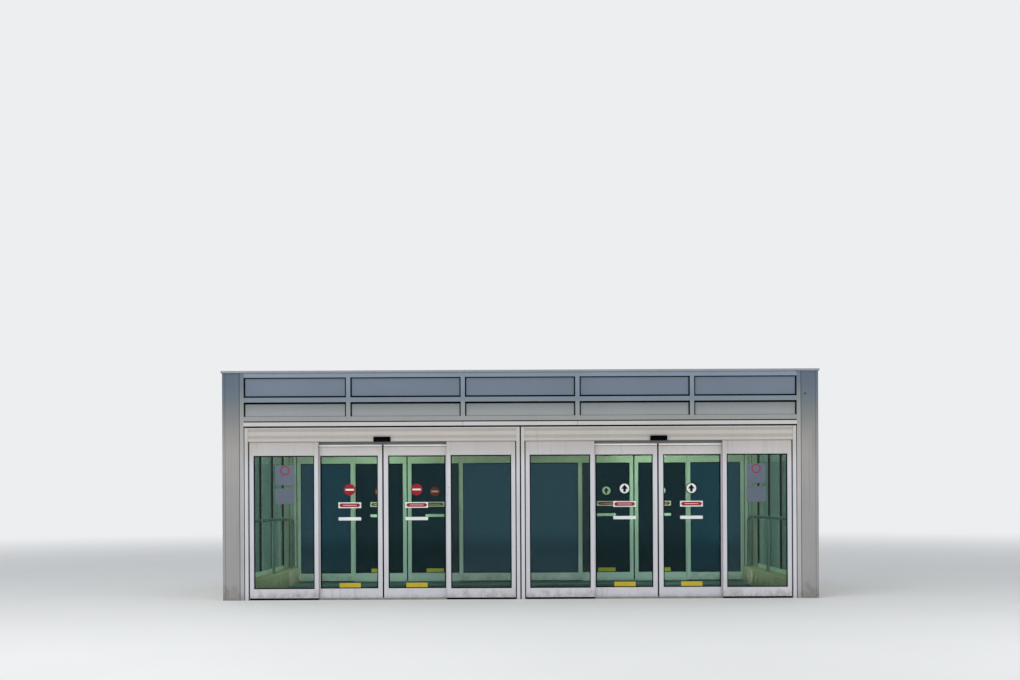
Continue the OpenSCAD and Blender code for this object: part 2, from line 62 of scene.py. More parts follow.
Point = Sequence[float]
Outline = Sequence[Pair]
# Lowest corner, highest corner and bevel.
Bar = tuple[Point, Point, float]


# Meshes


class Axis(Enum):
    """The direction that a bar runs along, a lathe turns round or a frame faces."""

    X = 0
    Y = 1
    Z = 2

    @property
    def across(self) -> list[int]:
        """The two other directions, in the order X, Y, Z."""
        return [a for a in range(3) if a != self.value]


@dataclass
class Surface:
    """A closed skin, or several, as points and arrays of faces.

    Args:
        points: Array of n by 3 coordinates.
        faces: Arrays of m by k point numbers, one array for each face size k.
    """

    points: Array
    faces: list[Array]

    def outward(self) -> "Surface":
        """Turns all faces round if they enclose a negative volume.

        The volume is the sum, over the triangles of each face, of a sixth of
        the triple product of their three corners.
        """
        p = self.points - self.points.mean(0)
        volume = sum(
            np.einsum("ik,ijk->", p[f[:, 0]], np.cross(p[f[:, 1:-1]], p[f[:, 2:]]))
            for f in self.faces
        )
        if volume < 0:
            self.faces = [f[:, ::-1] for f in self.faces]
        return self

    def copies(self, offsets: Array) -> "Surface":
        """The same skin once at each offset, an array of m by 3 steps."""
        offsets = np.atleast_2d(offsets)
        points = (self.points[None] + offsets[:, None]).reshape(-1, 3)
        shift = (np.arange(len(offsets)) * len(self.points))[:, None, None]
        return Surface(points, [(f[None] + shift).reshape(-1, f.shape[1]) for f in self.faces])

    def along(self, axis: Axis, steps: Iterable[float]) -> "Surface":
        """The same skin once at each step along an axis."""
        return self.copies(np.outer(steps, np.eye(3)[axis.value]))

    def mirrored(self, axis: Axis) -> "Surface":
        """The mirror image across the plane through the origin."""
        points = self.points.copy()
        points[:, axis.value] *= -1
        return Surface(points, [f[:, ::-1] for f in self.faces])

    def both(self, axis: Axis) -> "Surface":
        """This skin and its mirror image."""
        return join([self, self.mirrored(axis)])


def join(parts: Iterable[Surface]) -> Surface:
    """Several skins as one."""
    points, faces, start = [], [], 0
    for part in parts:
        points.append(part.points)
        faces.extend(f + start for f in part.faces)
        start += len(part.points)
    return Surface(np.concatenate(points), faces)


def loft(rings: Array, closed: bool = False) -> Surface:
    """A skin over a row of rings.

    The surface is a function of the place along the row and the place around
    the ring: point j of ring i joins point j + 1 and the same two of the next
    ring. The ends are flat faces unless the row closes on itself.

    Args:
        rings: Array of n rings by k points by 3 coordinates.
        closed: True where the last ring joins the first.
    """
    n, k = rings.shape[:2]
    i, j = np.meshgrid(np.arange(n if closed else n - 1), np.arange(k), indexing="ij")
    i2, j2 = (i + 1) % n, (j + 1) % k
    quads = np.stack([i * k + j, i * k + j2, i2 * k + j2, i2 * k + j], -1).reshape(-1, 4)
    faces = [quads]
    if not closed:
        faces.append(np.stack([np.arange(k)[::-1], (n - 1) * k + np.arange(k)]))
    return Surface(rings.reshape(-1, 3), faces).outward()


def run(profile: Outline, axis: Axis, start: float, end: float) -> Surface:
    """A profile, drawn across an axis, carried straight along it from start to end."""
    outline = np.asarray(profile, float)
    rings = np.empty((2, len(outline), 3))
    rings[:, :, axis.across] = outline
    rings[:, :, axis.value] = np.array([start, end])[:, None]
    return loft(rings)


# The four corners of a rectangle, as signs from its middle.
SQUARE = np.array([[1, 1], [-1, 1], [-1, -1], [1, -1]], float)


def bar(low: Point, high: Point, bevel: float = 0.0005) -> Surface:
    """A straight bar with all its edges bevelled.

    Four rectangles with cut corners follow its longest side. The two at the
    ends are smaller by the bevel all round.

    Args:
        low: Its lowest corner.
        high: Its highest corner.
        bevel: Width that the bevel takes off each side of an edge.
    """
    a, b = np.asarray(low, float), np.asarray(high, float)
    axis = Axis(int(np.argmax(b - a)))
    middle, half = ((a + b) / 2)[axis.across], ((b - a) / 2)[axis.across]
    sign = np.roll(np.repeat(SQUARE, 2, 0), -1, 0)
    cut = np.repeat(np.tile(np.eye(2), (2, 1)), 2, 0)
    inset = np.array([bevel, 0, 0, bevel])[:, None, None]
    rings = np.empty((4, 8, 3))
    rings[:, :, axis.across] = middle + sign * (half - inset - cut * bevel)
    start, end = a[axis.value], b[axis.value]
    rings[:, :, axis.value] = np.array([start, start + bevel, end - bevel, end])[:, None]
    return loft(rings)


def mitred(profile: Outline, low: Point, high: Point, facing: Axis, base: float) -> Surface:
    """A profile carried round a rectangle, with mitred corners.

    A profile point (p, q) lies p inside the rectangle and q from its plane: at
    a corner it stands at the centre plus or minus the half size less p.

    Args:
        profile: Corners as (distance inwards, distance along the facing axis).
        low: Lowest corner of the rectangle in the two other directions.
        high: Its highest corner.
        facing: The axis at right angles to the rectangle.
        base: Place of the rectangle's plane on that axis.
    """
    shape = np.asarray(profile, float)
    a, b = np.asarray(low, float), np.asarray(high, float)
    rings = np.empty((4, len(shape), 3))
    rings[:, :, facing.across] = (
        (a + b) / 2 + SQUARE[:, None] * ((b - a) / 2 - shape[None, :, :1]))
    rings[:, :, facing.value] = base + shape[:, 1]
    return loft(rings, closed=True)


def lathe(profile: Outline, centre: Point, axis: Axis, steps: int = 24) -> Surface:
    """A profile turned round an axis.

    A profile point (r, h) becomes the circle of radius r at height h: its
    points are r times the cosine and the sine of the angle.

    Args:
        profile: Points as (radius, height), the radius above 0.
        centre: The point on the axis at height 0.
        axis: The axis of the turn.
        steps: Points in each circle.
    """
    shape = np.asarray(profile, float)
    angle = np.linspace(0, 2 * np.pi, steps, endpoint=False)
    rings = np.empty((len(shape), steps, 3))
    rings[:, :, axis.across[0]] = shape[:, :1] * np.cos(angle)
    rings[:, :, axis.across[1]] = shape[:, :1] * np.sin(angle)
    rings[:, :, axis.value] = shape[:, 1:]
    return loft(rings + np.asarray(centre, float))


def tube(path: Array, radius: float, side: Point, steps: int = 20) -> Surface:
    """A round tube along a path that lies in a plane.

    At each point of the path the ring is the radius times the cosine of the
    angle along the plane's normal, plus the sine along the vector at right
    angles to both the normal and the path.

    Args:
        path: Array of n by 3 points.
        radius: Radius of the tube.
        side: Unit normal of the plane.
        steps: Points around the tube.
    """
    tangent = np.gradient(path, axis=0)
    tangent /= np.linalg.norm(tangent, axis=1, keepdims=True)
    normal = np.cross(tangent, side)
    angle = np.linspace(0, 2 * np.pi, steps, endpoint=False)
    ring = np.cos(angle)[None, :, None] * np.asarray(side, float)
    ring = ring + np.sin(angle)[None, :, None] * normal[:, None]
    return loft(path[:, None] + radius * ring)


def screw(centre: Point, axis: Axis, out: float, radius: float = 0.005) -> Surface:
    """A low domed screw head with a dimple, on a face.

    Args:
        centre: Point on the face.
        axis: The axis at right angles to the face.
        out: 1 where the face looks along the axis, -1 where it looks against it.
        radius: Radius of the head.
    """
    shape = [(1, -0.1), (1, 0.12), (0.84, 0.34), (0.5, 0.44), (0.34, 0.42), (0.3, 0.16)]
    return lathe([(r * radius, out * h * radius) for r, h in shape], centre, axis, 12)


def plugs(x: float, faces: Sequence[float], z: float) -> Surface:
    """A plug through a rail, with a head on its front and on its back."""
    return join(screw((x, y, z), Axis.Y, out, 0.006) for y, out in zip(faces, (-1.0, 1.0)))


# Finishes


def linear(colour: Colour) -> tuple[float, float, float, float]:
    """A colour as it looks on a screen, 0 to 255, as the light it stands for."""
    share = [c / 255 for c in colour]
    light = [s / 12.92 if s <= 0.04045 else ((s + 0.055) / 1.055) ** 2.4 for s in share]
    return (light[0], light[1], light[2], 1.0)


class Graph:
    """A node tree with short calls to add and join its nodes."""

    def __init__(self, tree: bpy.types.NodeTree) -> None:
        """Keeps the tree."""
        self.tree = tree

    def feed(self, node: bpy.types.Node, inputs: dict[str | int, Value]) -> None:
        """Links a socket to each of these inputs of a node, or sets the input's value."""
        for key, value in inputs.items():
            if isinstance(value, bpy.types.NodeSocket):
                self.tree.links.new(value, node.inputs[key])
            else:
                node.inputs[key].default_value = value

    def add(self, kind: str, inputs: dict[str | int, Value] | None = None,
            **settings: object) -> bpy.types.Node:
        """Adds a node.

        Args:
            kind: Blender's name of the node, without the leading ShaderNode.
            inputs: What feeds its inputs, by name or number.
            settings: Its other properties.

        Returns:
            The node.
        """
        node = self.tree.nodes.new("ShaderNode" + kind)
        for key, value in settings.items():
            setattr(node, key, value)
        self.feed(node, inputs or {})
        return node

    def math(self, operation: str, a: Value, b: Value = 0.0) -> Socket:
        """A sum on two numbers."""
        return self.add("Math", {0: a, 1: b}, operation=operation).outputs[0]

    def fit(self, value: Value, low: float, high: float, out_low: Value = 0.0,
            out_high: Value = 1.0) -> Socket:
        """A number moved from one range to another, smoothly and clamped."""
        inputs = {"Value": value, "From Min": low, "From Max": high,
                  "To Min": out_low, "To Max": out_high}
        return self.add("MapRange", inputs, interpolation_type="SMOOTHSTEP").outputs["Result"]

    def blend(self, share: Value, a: Value, b: Value, way: str = "MIX") -> Socket:
        """Colour a with a share of colour b."""
        return self.add("Mix", {0: share, 6: a, 7: b}, data_type="RGBA",
                        blend_type=way).outputs[2]

    def layers(self, base: Value, *coats: tuple[Value, Colour]) -> Value:
        """A colour with others laid over it in turn, each by its own share."""
        for share, colour in coats:
            base = self.blend(share, base, linear(colour))
        return base

    def place(self, stretch: Point = (1, 1, 1)) -> Socket:
        """The point on the object, with each axis stretched."""
        point = self.add("TexCoord").outputs["Object"]
        return self.add("Mapping", {"Vector": point, "Scale": stretch}).outputs["Vector"]

    def part(self, axis: Axis) -> Socket:
        """One coordinate of the point on the object, in metres."""
        point = self.add("TexCoord").outputs["Object"]
        return self.add("SeparateXYZ", {"Vector": point}).outputs[axis.value]

    def noise(self, stretch: Point, scale: Value, detail: float = 3.0) -> Socket:
        """Soft noise between 0 and 1 on the object."""
        inputs = {"Vector": self.place(stretch), "Scale": scale, "Detail": detail}
        return self.add("TexNoise", inputs).outputs[0]

    def bump(self, height: Value, distance: float) -> Socket:
        """A normal from a height between 0 and 1 that stands for a distance."""
        return self.add("Bump", {"Height": height, "Distance": distance}).outputs["Normal"]


@dataclass
class Effect:
    """A shader node group that materials share.

    Args:
        kind: Float or Color, the kind of its result.
        inputs: Default of each input. A number makes a number socket, four
            numbers make a colour socket.
        wire: Joins the nodes from the inputs to the result, and names the group.
    """

    kind: str
    inputs: dict[str, Value]
    wire: Callable[..., Socket]

    def group(self) -> bpy.types.NodeTree:
        """The group, made at the first call."""
        name = self.wire.__name__
        if name in bpy.data.node_groups:
            return bpy.data.node_groups[name]
        tree = bpy.data.node_groups.new(name, "ShaderNodeTree")
        sockets = tree.interface
        for key, value in self.inputs.items():
            kind = "NodeSocketFloat" if isinstance(value, float) else "NodeSocketColor"
            sockets.new_socket(key, in_out="INPUT", socket_type=kind).default_value = value
        sockets.new_socket("result", in_out="OUTPUT", socket_type="NodeSocket" + self.kind)
        entry, leave = tree.nodes.new("NodeGroupInput"), tree.nodes.new("NodeGroupOutput")
        result = self.wire(Graph(tree), **{key: entry.outputs[key] for key in self.inputs})
        tree.links.new(result, leave.inputs["result"])
        return tree

    def __call__(self, graph: Graph, **values: Value) -> Socket:
        """Places the group in a graph with values of its own, and gives its result."""
        return graph.add("Group", values, node_tree=self.group()).outputs["result"]


def shared(kind: str, **inputs: Value) -> Callable[[Callable[..., Socket]], Effect]:
    """Makes an effect of the function below it, with these defaults."""
    return lambda wire: Effect(kind, inputs, wire)


@shared("Float", reach=0.2, amount=0.5)
def ground_dirt_and_shade(g: Graph, reach: Socket, amount: Socket) -> Socket:
    """Mask of the dirt thrown up from the ground, gone at the reach; on the plinth stone it also
    paints contact shade at the foot.
    """
    height = g.math("DIVIDE", g.part(Axis.Z), reach)
    ragged = g.math("ADD", height, g.fit(g.noise((1, 1, 0.7), 9, 5), 0.3, 0.7, -0.35, 0.35))
    patch = g.fit(g.noise((1, 1, 1), 55, 4), 0.35, 0.7, 0.4, 1.0)
    return g.math("MULTIPLY", g.math("MULTIPLY", g.fit(ragged, 1.0, 0.0), patch), amount)


@shared("Float", spread=30.0, amount=0.3)
def rain_streaks(g: Graph, spread: Socket, amount: Socket) -> Socket:
    """Mask of the faint upright streaks that rain leaves."""
    fine = g.fit(g.noise((1, 1, 0.03), spread, 4), 0.5, 0.75)
    broad = g.fit(g.noise((1, 1, 0.3), 1.7, 2), 0.4, 0.65)
    return g.math("MULTIPLY", g.math("MULTIPLY", fine, broad), amount)


@shared("Float", scale=400.0)
def drawn_grain(g: Graph, scale: Socket) -> Socket:
    """Height of the fine lines that a die leaves along a profile.

    The lines run upright, along X or along Y, as the face's own length does:
    three stretched noises are averaged.
    """
    a, b, c = (g.noise(way, scale, 2) for way in ((1, 1, 0.02), (0.02, 1, 1), (1, 0.02, 1)))
    return g.math("DIVIDE", g.math("ADD", g.math("ADD", a, b), c), 3.0)


@shared("Color", low=(1.0,) * 4, high=(1.0,) * 4, start=0.0, span=1.0)
def rising_tone(g: Graph, low: Socket, high: Socket, start: Socket, span: Socket) -> Socket:
    """Colour that turns from one to another over a span of height: painted shade and reflection
    towards the top of a surface.
    """
    share = g.math("DIVIDE", g.math("SUBTRACT", g.part(Axis.Z), start), span)
    return g.blend(g.fit(share, 0, 1), low, high)


@shared("Color", base=(1.0,) * 4, scale=3.0, amount=0.05)
def mottle(g: Graph, base: Socket, scale: Socket, amount: Socket) -> Socket:
    """Colour with soft lighter and darker clouds, each with finer ones in it."""
    cloud = g.fit(g.noise((1, 1, 1), scale, 6), 0.25, 0.75, -1.0, 1.0)
    shade = g.math("ADD", g.math("MULTIPLY", cloud, amount), 1.0)
    grey = g.add("CombineXYZ", {0: shade, 1: shade, 2: shade}).outputs[0]
    return g.blend(1.0, base, grey, "MULTIPLY")


@shared("Float", scale=200.0, size=0.3)
def specks(g: Graph, scale: Socket, size: Socket) -> Socket:
    """Mask of grains of sand or gravel: the cells whose middle is near."""
    cell = g.add("TexVoronoi", {"Vector": g.place(), "Scale": scale}).outputs["Distance"]
    some = g.fit(g.noise((1, 1, 1), g.math("MULTIPLY", scale, 0.6), 1), 0.45, 0.6)
    return g.math("MULTIPLY", g.math("LESS_THAN", cell, size), some)


@dataclass(frozen=True)
class Finish:
    """What all the finishes start from.

    Args:
        name: Name of the material, before the ending _finish.
        slot: The record's material slot; not used.
        colour: Its colour as it looks on a screen.
        rough: Roughness.
        metal: How much it reflects as a metal.
        shine: Strength of the reflections that aren't a metal's.
        ior: Index of refraction: the lower it is, the less it mirrors.
    """

    name: str
    slot: str
    colour: Colour
    rough: float = 0.5
    metal: float = 0.0
    shine: float = 0.5
    ior: float = 1.5

    def material(self) -> bpy.types.Material:
        """The material, made at the first call."""
        name = f"{self.name}_finish"
        if name in bpy.data.materials:
            return bpy.data.materials[name]
        material = bpy.data.materials.new(name)
        material.use_nodes = True
        graph, shader = Graph(material.node_tree), material.node_tree.nodes["Principled BSDF"]
        graph.feed(shader, {"Base Color": linear(self.colour), "Roughness": self.rough,
                            "Metallic": self.metal, "Specular IOR Level": self.shine,
                            "IOR": self.ior})
        graph.feed(shader, self.shade(graph))
        return material

    def shade(self, g: Graph) -> dict[str, Value]:
        """The shader's inputs that change over the surface."""
        raise NotImplementedError


@dataclass(frozen=True)
class DrawnMetal(Finish):
    """Anodised or painted metal profiles with grain, streaks and dirt, and with painted shade and
    reflection that change their colour towards the top.

    Args:
        top: Colour at the upper end of the range of heights: painted shade and reflection from
            above.
        rise: Lowest and highest height of that range.
        grain: Depth of the die lines.
        dirt: Strength of the dirt near the ground.
        dirt_reach: Height that the dirt reaches.
        streaks: Strength of the rain streaks.
        soil: Colour of the dirt.
        lines: Colour of the die lines.
        rain: Colour of the streaks.
    """

    top: Colour | None = None
    rise: Pair = (2.0, 2.9)
    grain: float = 0.00006
    dirt: float = 0.55
    dirt_reach: float = 0.16
    streaks: float = 0.25
    soil: Colour = (92, 84, 72)
    lines: Colour = (120, 118, 118)
    rain: Colour = (118, 116, 110)

    def tone(self, g: Graph) -> Socket:
        """The colour without its wear, changed with the height by painted shade and reflection.
        """
        low, high = self.rise
        return rising_tone(g, low=linear(self.colour), high=linear(self.top or self.colour),
                           start=low, span=high - low)

    def shade(self, g: Graph) -> dict[str, Value]:
        """Tone by height, clouds, streaks and dirt, with the grain as relief."""
        base = mottle(g, base=self.tone(g), scale=1.6, amount=0.035)
        grain = drawn_grain(g, scale=420.0)
        streaks = rain_streaks(g, spread=26.0, amount=self.streaks)
        dirt = ground_dirt_and_shade(g, reach=self.dirt_reach, amount=self.dirt)
        soiled = g.math("ADD", streaks, dirt)
        gloss = g.fit(grain, 0.3, 0.7, self.rough - 0.03, self.rough + 0.03)
        lines = g.fit(grain, 0.4, 0.6, 0.0, 0.05)
        base = g.layers(base, (lines, self.lines), (streaks, self.rain), (dirt, self.soil))
        return {"Base Color": base,
                "Roughness": g.math("ADD", gloss, g.math("MULTIPLY", soiled, 0.3)),
                "Metallic": g.fit(soiled, 0.0, 1.0, self.metal, 0.0),
                "Normal": g.bump(grain, self.grain)}


@dataclass(frozen=True)
class BandedMetal(DrawnMetal):
    """Drawn metal whose tone changes with the height, in level bands or softly: painted shade,
    highlight and reflection.

    Args:
        foot: Height of the foot of the lowest band.
        span: Height of all the bands together.
        bands: Start of each band above the foot, with its colour of painted light and shade.
        soft: True where the colours run into each other.
    """

    foot: float = 2.107
    span: float = 0.186
    bands: tuple[tuple[float, Colour], ...] = ()
    soft: bool = False

    def tone(self, g: Graph) -> Socket:
        """The colour of the band that the point's height lies in, painted light and shade."""
        height = g.math("SUBTRACT", g.part(Axis.Z), self.foot)
        node = g.add("ValToRGB", {0: g.math("DIVIDE", height, self.span)})
        ramp = node.color_ramp
        ramp.interpolation = "LINEAR" if self.soft else "CONSTANT"
        for index, (start, colour) in enumerate(self.bands):
            place = start / self.span
            element = ramp.elements[index] if index < 2 else ramp.elements.new(place)
            element.position, element.color = place, linear(colour)
        return node.outputs["Color"]


@dataclass(frozen=True)
class StainedMetal(BandedMetal):
    """Banded metal with one small dark stain.

    Args:
        stain: Place of the stain.
        stain_reach: Distance from there at which it is gone.
        stain_tone: Colour of the stain.
    """

    stain: Triple = (0.0, 0.0, 0.0)
    stain_reach: float = 0.022
    stain_tone: Colour = (52, 54, 58)

    def tone(self, g: Graph) -> Socket:
        """The painted shade by height, darkened round the stain."""
        away = g.add("VectorMath", {0: g.place(), 1: self.stain}, operation="DISTANCE")
        mark = g.fit(away.outputs["Value"], self.stain_reach, self.stain_reach * 0.4)
        return g.layers(super().tone(g), (mark, self.stain_tone))


@dataclass(frozen=True)
class TintedGlass(Finish):
    """Clear glass with a tint and faint clouds in it.

    Args:
        inner: Tint of the panes of the inner row.
    """

    inner: Colour | None = None

    def shade(self, g: Graph) -> dict[str, Value]:
        """Tint by row, with faint clouds."""
        row = g.fit(g.part(Axis.Y), -0.5, 0.5)
        tint = g.blend(row, linear(self.colour), linear(self.inner or self.colour))
        return {"Transmission Weight": 1.0,
                "Base Color": mottle(g, base=tint, scale=2.2, amount=0.05)}


@dataclass(frozen=True)
class Rubber(Finish):
    """Black rubber and brush, greyed by dust.

    Args:
        dust: Colour of the dust.
    """

    dust: Colour = (74, 72, 68)

    def shade(self, g: Graph) -> dict[str, Value]:
        """Dust in patches, more of it near the ground."""
        patches = g.fit(g.noise((1, 1, 0.4), 30, 5), 0.45, 0.8, 0.0, 0.35)
        dirt = g.math("MAXIMUM", patches, ground_dirt_and_shade(g, reach=0.25, amount=0.7))
        return {"Base Color": g.layers(linear(self.colour), (dirt, self.dust)),
                "Roughness": g.fit(dirt, 0, 1, self.rough, 0.85),
                "Normal": g.bump(g.noise((1, 1, 1), 900, 2), 0.0001)}


@dataclass(frozen=True)
class Stone(Finish):
    """Masonry or concrete with sand grains and, if asked, upright joints.

    Args:
        grains: Colour of the coarse grains.
        sand: Colour of the fine grains.
        soil: Colour of the dirt near the ground, on the plinths also painted contact shade.
        mortar: Colour of the joints.
        joint_step: Distance between the joints along Y, 0 for none.
    """

    grains: Colour = (120, 110, 98)
    sand: Colour = (206, 196, 180)
    soil: Colour = (66, 63, 56)
    mortar: Colour = (88, 82, 74)
    joint_step: float = 0.0

    def shade(self, g: Graph) -> dict[str, Value]:
        """Clouds, grains of two sizes, stains and joints."""
        coarse = specks(g, scale=150.0, size=0.34)
        fine = g.fit(g.noise((1, 1, 1), 480, 2), 0.4, 0.62)
        # The darkening near the ground is dirt and painted contact shade.
        base = g.layers(mottle(g, base=linear(self.colour), scale=3.0, amount=0.12),
                            (g.math("MULTIPLY", coarse, 0.5), self.grains),
                            (g.math("MULTIPLY", fine, 0.25), self.sand),
                            (ground_dirt_and_shade(g, reach=0.20, amount=0.9), self.soil))
        height = g.math("SUBTRACT", fine, coarse)
        if self.joint_step:
            turn = g.math("DIVIDE", g.part(Axis.Y), self.joint_step)
            edge = g.math("ABSOLUTE", g.math("SUBTRACT", g.math("FRACT", turn), 0.5))
            joint = g.fit(edge, 0.009, 0.005)
            base = g.layers(base, (joint, self.mortar))
            height = g.math("SUBTRACT", height, g.math("MULTIPLY", joint, 4.0))
        return {"Base Color": base, "Normal": g.bump(height, 0.0006)}


@dataclass(frozen=True)
class Pile(Finish):
    """Short ribbed pile of an entrance mat, with trodden paths and grit.

    Args:
        roots: Colour of the yarn between its tips.
        grit: Colour of the grit.
    """

    roots: Colour = (24, 27, 27)
    grit: Colour = (150, 142, 126)

    def shade(self, g: Graph) -> dict[str, Value]:
        """Yarn tips as relief, grit and wear as colour."""
        yarn = g.noise((1, 1, 1), 700, 2)
        grit = g.math("MULTIPLY", specks(g, scale=260.0, size=0.18), 0.6)
        base = mottle(g, base=linear(self.colour), scale=1.4, amount=0.22)
        deep = g.fit(yarn, 0.35, 0.65, 0.0, 0.5)
        return {"Base Color": g.layers(base, (deep, self.roots), (grit, self.grit)),
                "Normal": g.bump(yarn, 0.0012)}


@dataclass(frozen=True)
class Coating(Finish):
    """Paint, moulded plastic, vinyl film or roof felt, with a fine texture.

    Args:
        texture: Size of the texture, as noise cells to a metre.
        relief: Depth of the texture.
        wear: Strength of the lighter rubbed clouds.
        dust: Colour of the dust.
    """

    texture: float = 600.0
    relief: float = 0.00005
    wear: float = 0.06
    dust: Colour = (150, 146, 138)

    def shade(self, g: Graph) -> dict[str, Value]:
        """Clouds, dust and a fine texture."""
        base = mottle(g, base=linear(self.colour), scale=7.0, amount=self.wear)
        dust = g.fit(g.noise((1, 1, 1), 40, 5), 0.5, 0.8, 0.0, self.wear)
        texture = g.noise((1, 1, 1), self.texture, 2)
        return {"Base Color": g.layers(base, (dust, self.dust)),
                "Roughness": g.fit(texture, 0.3, 0.7, self.rough - 0.05, self.rough + 0.05),
                "Normal": g.bump(texture, self.relief)}


@dataclass(frozen=True)
class Lens(Finish):
    """White diffuser that shines.

    Args:
        glow: Strength of the light that it gives.
        light: Colour of that light.
        ribbed: Its colour on the ribs of the diffuser.
    """

    glow: float = 2.0
    light: Colour = (255, 246, 200)
    ribbed: Colour = (214, 205, 160)

    def shade(self, g: Graph) -> dict[str, Value]:
        """Glow with the fine ribs of a diffuser."""
        ribs = g.math("SINE", g.math("MULTIPLY", g.part(Axis.X), 900.0))
        ribs = g.fit(ribs, -1, 1, 0.0, 0.12)
        return {"Emission Color": g.layers(linear(self.light), (ribs, self.ribbed)),
                "Emission Strength": self.glow,
                "Base Color": mottle(g, base=linear(self.colour), scale=5.0, amount=0.03)}


# Where a finish has a top colour or bands by height, the change is painted shade and reflection
# from above: darker, and mostly bluer, towards the top.
SATIN = DrawnMetal("satin_door_metal", "door_metal", (206, 205, 210), 0.42, 0.35,
                   top=(190, 185, 180), rise=(1.7, 2.1), dirt=0.25, dirt_reach=0.08)
FIXED = DrawnMetal("fixed_door_metal", "door_metal", (206, 205, 210), 0.42, 0.35,
                   top=(183, 178, 174), rise=(1.7, 2.1), dirt=0.6, dirt_reach=0.15)
# The header's bands are painted shade and highlights of the ribs on its face.
HEADER = BandedMetal("header_metal", "door_metal", (186, 182, 178), 0.42, 0.3, streaks=0.15,
                     bands=((0.0, (178, 172, 166)), (0.013, (187, 181, 175)),
                            (0.038, (170, 164, 158)), (0.079, (186, 180, 174)),
                            (0.132, (167, 162, 157)), (0.173, (202, 198, 193))))
STRIP = DrawnMetal("strip_metal", "door_metal", (244, 240, 236), 0.5, 0.1, streaks=0.1)
BRIGHT = DrawnMetal("bright_trim_metal", "trim_metal", (194, 193, 192), 0.35, 0.4, streaks=0.1)
# Its bands are painted shade and reflection: darker and bluer towards the top.
PORTAL = BandedMetal("portal_metal", "door_metal", (176, 173, 173), 0.42, 0.35,
                     foot=1.1, span=1.95, soft=True,
                     bands=((0.0, (176, 173, 175)), (0.3, (184, 180, 180)),
                            (0.7, (178, 174, 173)), (0.95, (170, 167, 166)),
                            (1.2, (161, 161, 159)), (1.34, (151, 152, 150)),
                            (1.555, (126, 134, 134)), (1.77, (104, 116, 128)),
                            (1.95, (98, 111, 124))))
# Its bands are painted shade and reflection: darker and bluer towards the top.
CLAD = StainedMetal("post_cladding", "post_metal", (162, 159, 159), 0.5, 0.3,
                    foot=1.2, span=1.85, soft=True, dirt=0.6, dirt_reach=0.25, streaks=0.35,
                    stain=(3.784, -1.680, 2.718),
                    bands=((0.0, (154, 152, 151)), (0.4, (158, 155, 153)),
                           (0.74, (156, 153, 150)), (0.92, (149, 146, 143)),
                           (1.11, (134, 134, 133)), (1.3, (117, 121, 123)),
                           (1.48, (98, 109, 117)), (1.67, (88, 101, 114)),
                           (1.85, (85, 98, 111))))
# Its bands are painted shade and reflection: darker and bluer towards the top.
BAND = BandedMetal("band_metal", "transom_metal", (150, 150, 147), 0.4, 0.3,
                   foot=2.38, span=0.642, soft=True, streaks=0.25,
                   bands=((0.0, (149, 148, 146)), (0.06, (145, 147, 144)),
                          (0.18, (138, 145, 143)), (0.24, (128, 137, 140)),
                          (0.28, (116, 129, 142)), (0.47, (124, 136, 151)),
                          (0.642, (126, 138, 152))))
# The top colour of the side frames is painted shade and reflection from above.
FRAME = DrawnMetal("side_frame_metal", "transom_metal", (198, 201, 196), 0.45, 0.25,
                   top=(118, 130, 144), rise=(2.2, 2.66))
# The top colour of the lower panels is painted shade from the bar and canopy above.
LOWER_PANEL = DrawnMetal("lower_panel_paint", "lower_panel_metal", (152, 156, 156), 0.5, 0.2,
                         top=(113, 119, 120), rise=(2.38, 2.68), streaks=0.15)
# Dark blue-grey: the panels' own paint together with painted shade from above.
UPPER_PANEL = DrawnMetal("upper_panel_paint", "upper_panel_metal", (104, 116, 130), 0.5, 0.2,
                         streaks=0.15)
# Near black, so that the lintel beams seen in the gaps round the trim paint the shadow lines
# there.
BEAM = DrawnMetal("beam_metal", "beam_metal", (10, 11, 13), 0.8, ior=1.2, streaks=0.05)
SILL = DrawnMetal("sill_steel", "sill_steel", (150, 156, 150), 0.45, 0.7,
                  dirt=0.8, dirt_reach=0.03)
RAIL = DrawnMetal("rail_steel", "rail_steel", (190, 192, 190), 0.24, 0.9,
                  grain=0.00003, dirt=0.2)
COPING = DrawnMetal("coping_metal", "coping_metal", (150, 154, 160), 0.5, 0.6, streaks=0.4)
GLASS = TintedGlass("tinted_glass", "glass", (134, 175, 161), 0.0,
                    inner=(46, 87, 113), ior=1.3)
LEAF_GLASS = TintedGlass("leaf_glass", "glass", (134, 175, 161), 0.0,
                         inner=(20, 56, 70), ior=1.2)
SIDE_GLASS = TintedGlass("side_glass", "glass", (236, 246, 243), 0.0, ior=1.1)
JOINT = Rubber("joint_rubber", "joint_rubber", (8, 10, 12), 0.7, ior=1.15)
GASKET = Rubber("panel_gasket", "joint_rubber", (3, 4, 5), 0.8, ior=1.12, dust=(20, 20, 20))
BRISTLE = Rubber("brush_bristle", "joint_rubber", (122, 121, 124), 0.9, shine=0.1,
                 dust=(134, 132, 128))
# The plinth stone darkens at its foot with dirt and painted contact shade.
STONE = Stone("plinth_stone", "plinth_stone", (164, 146, 128), 0.8, joint_step=0.61)
CONCRETE = Stone("floor_concrete", "floor_concrete", (126, 128, 122), 0.75)
MAT = Pile("mat_pile", "mat_fabric", (80, 96, 104), 0.95, ior=1.2)
PLASTIC = Coating("sensor_plastic", "sensor_plastic", (3, 4, 5), 0.7, ior=1.1,
                  texture=1500.0, wear=0.002)
CEILING = Coating("ceiling_paint", "ceiling_paint", (208, 208, 196), 0.6)
ROOF = Coating("roof_membrane", "roof_membrane", (112, 114, 112), 0.85,
               texture=240.0, relief=0.0006, wear=0.12)
LENS = Lens("light_lens", "light_lens", (230, 230, 220), 0.3)
WINDOW = Coating("sensor_window", "sensor_plastic", (10, 14, 18), 0.06, ior=1.2, relief=0.0)
FILM_RED = Coating("film_red", "joint_rubber", (142, 34, 38), ior=1.2)
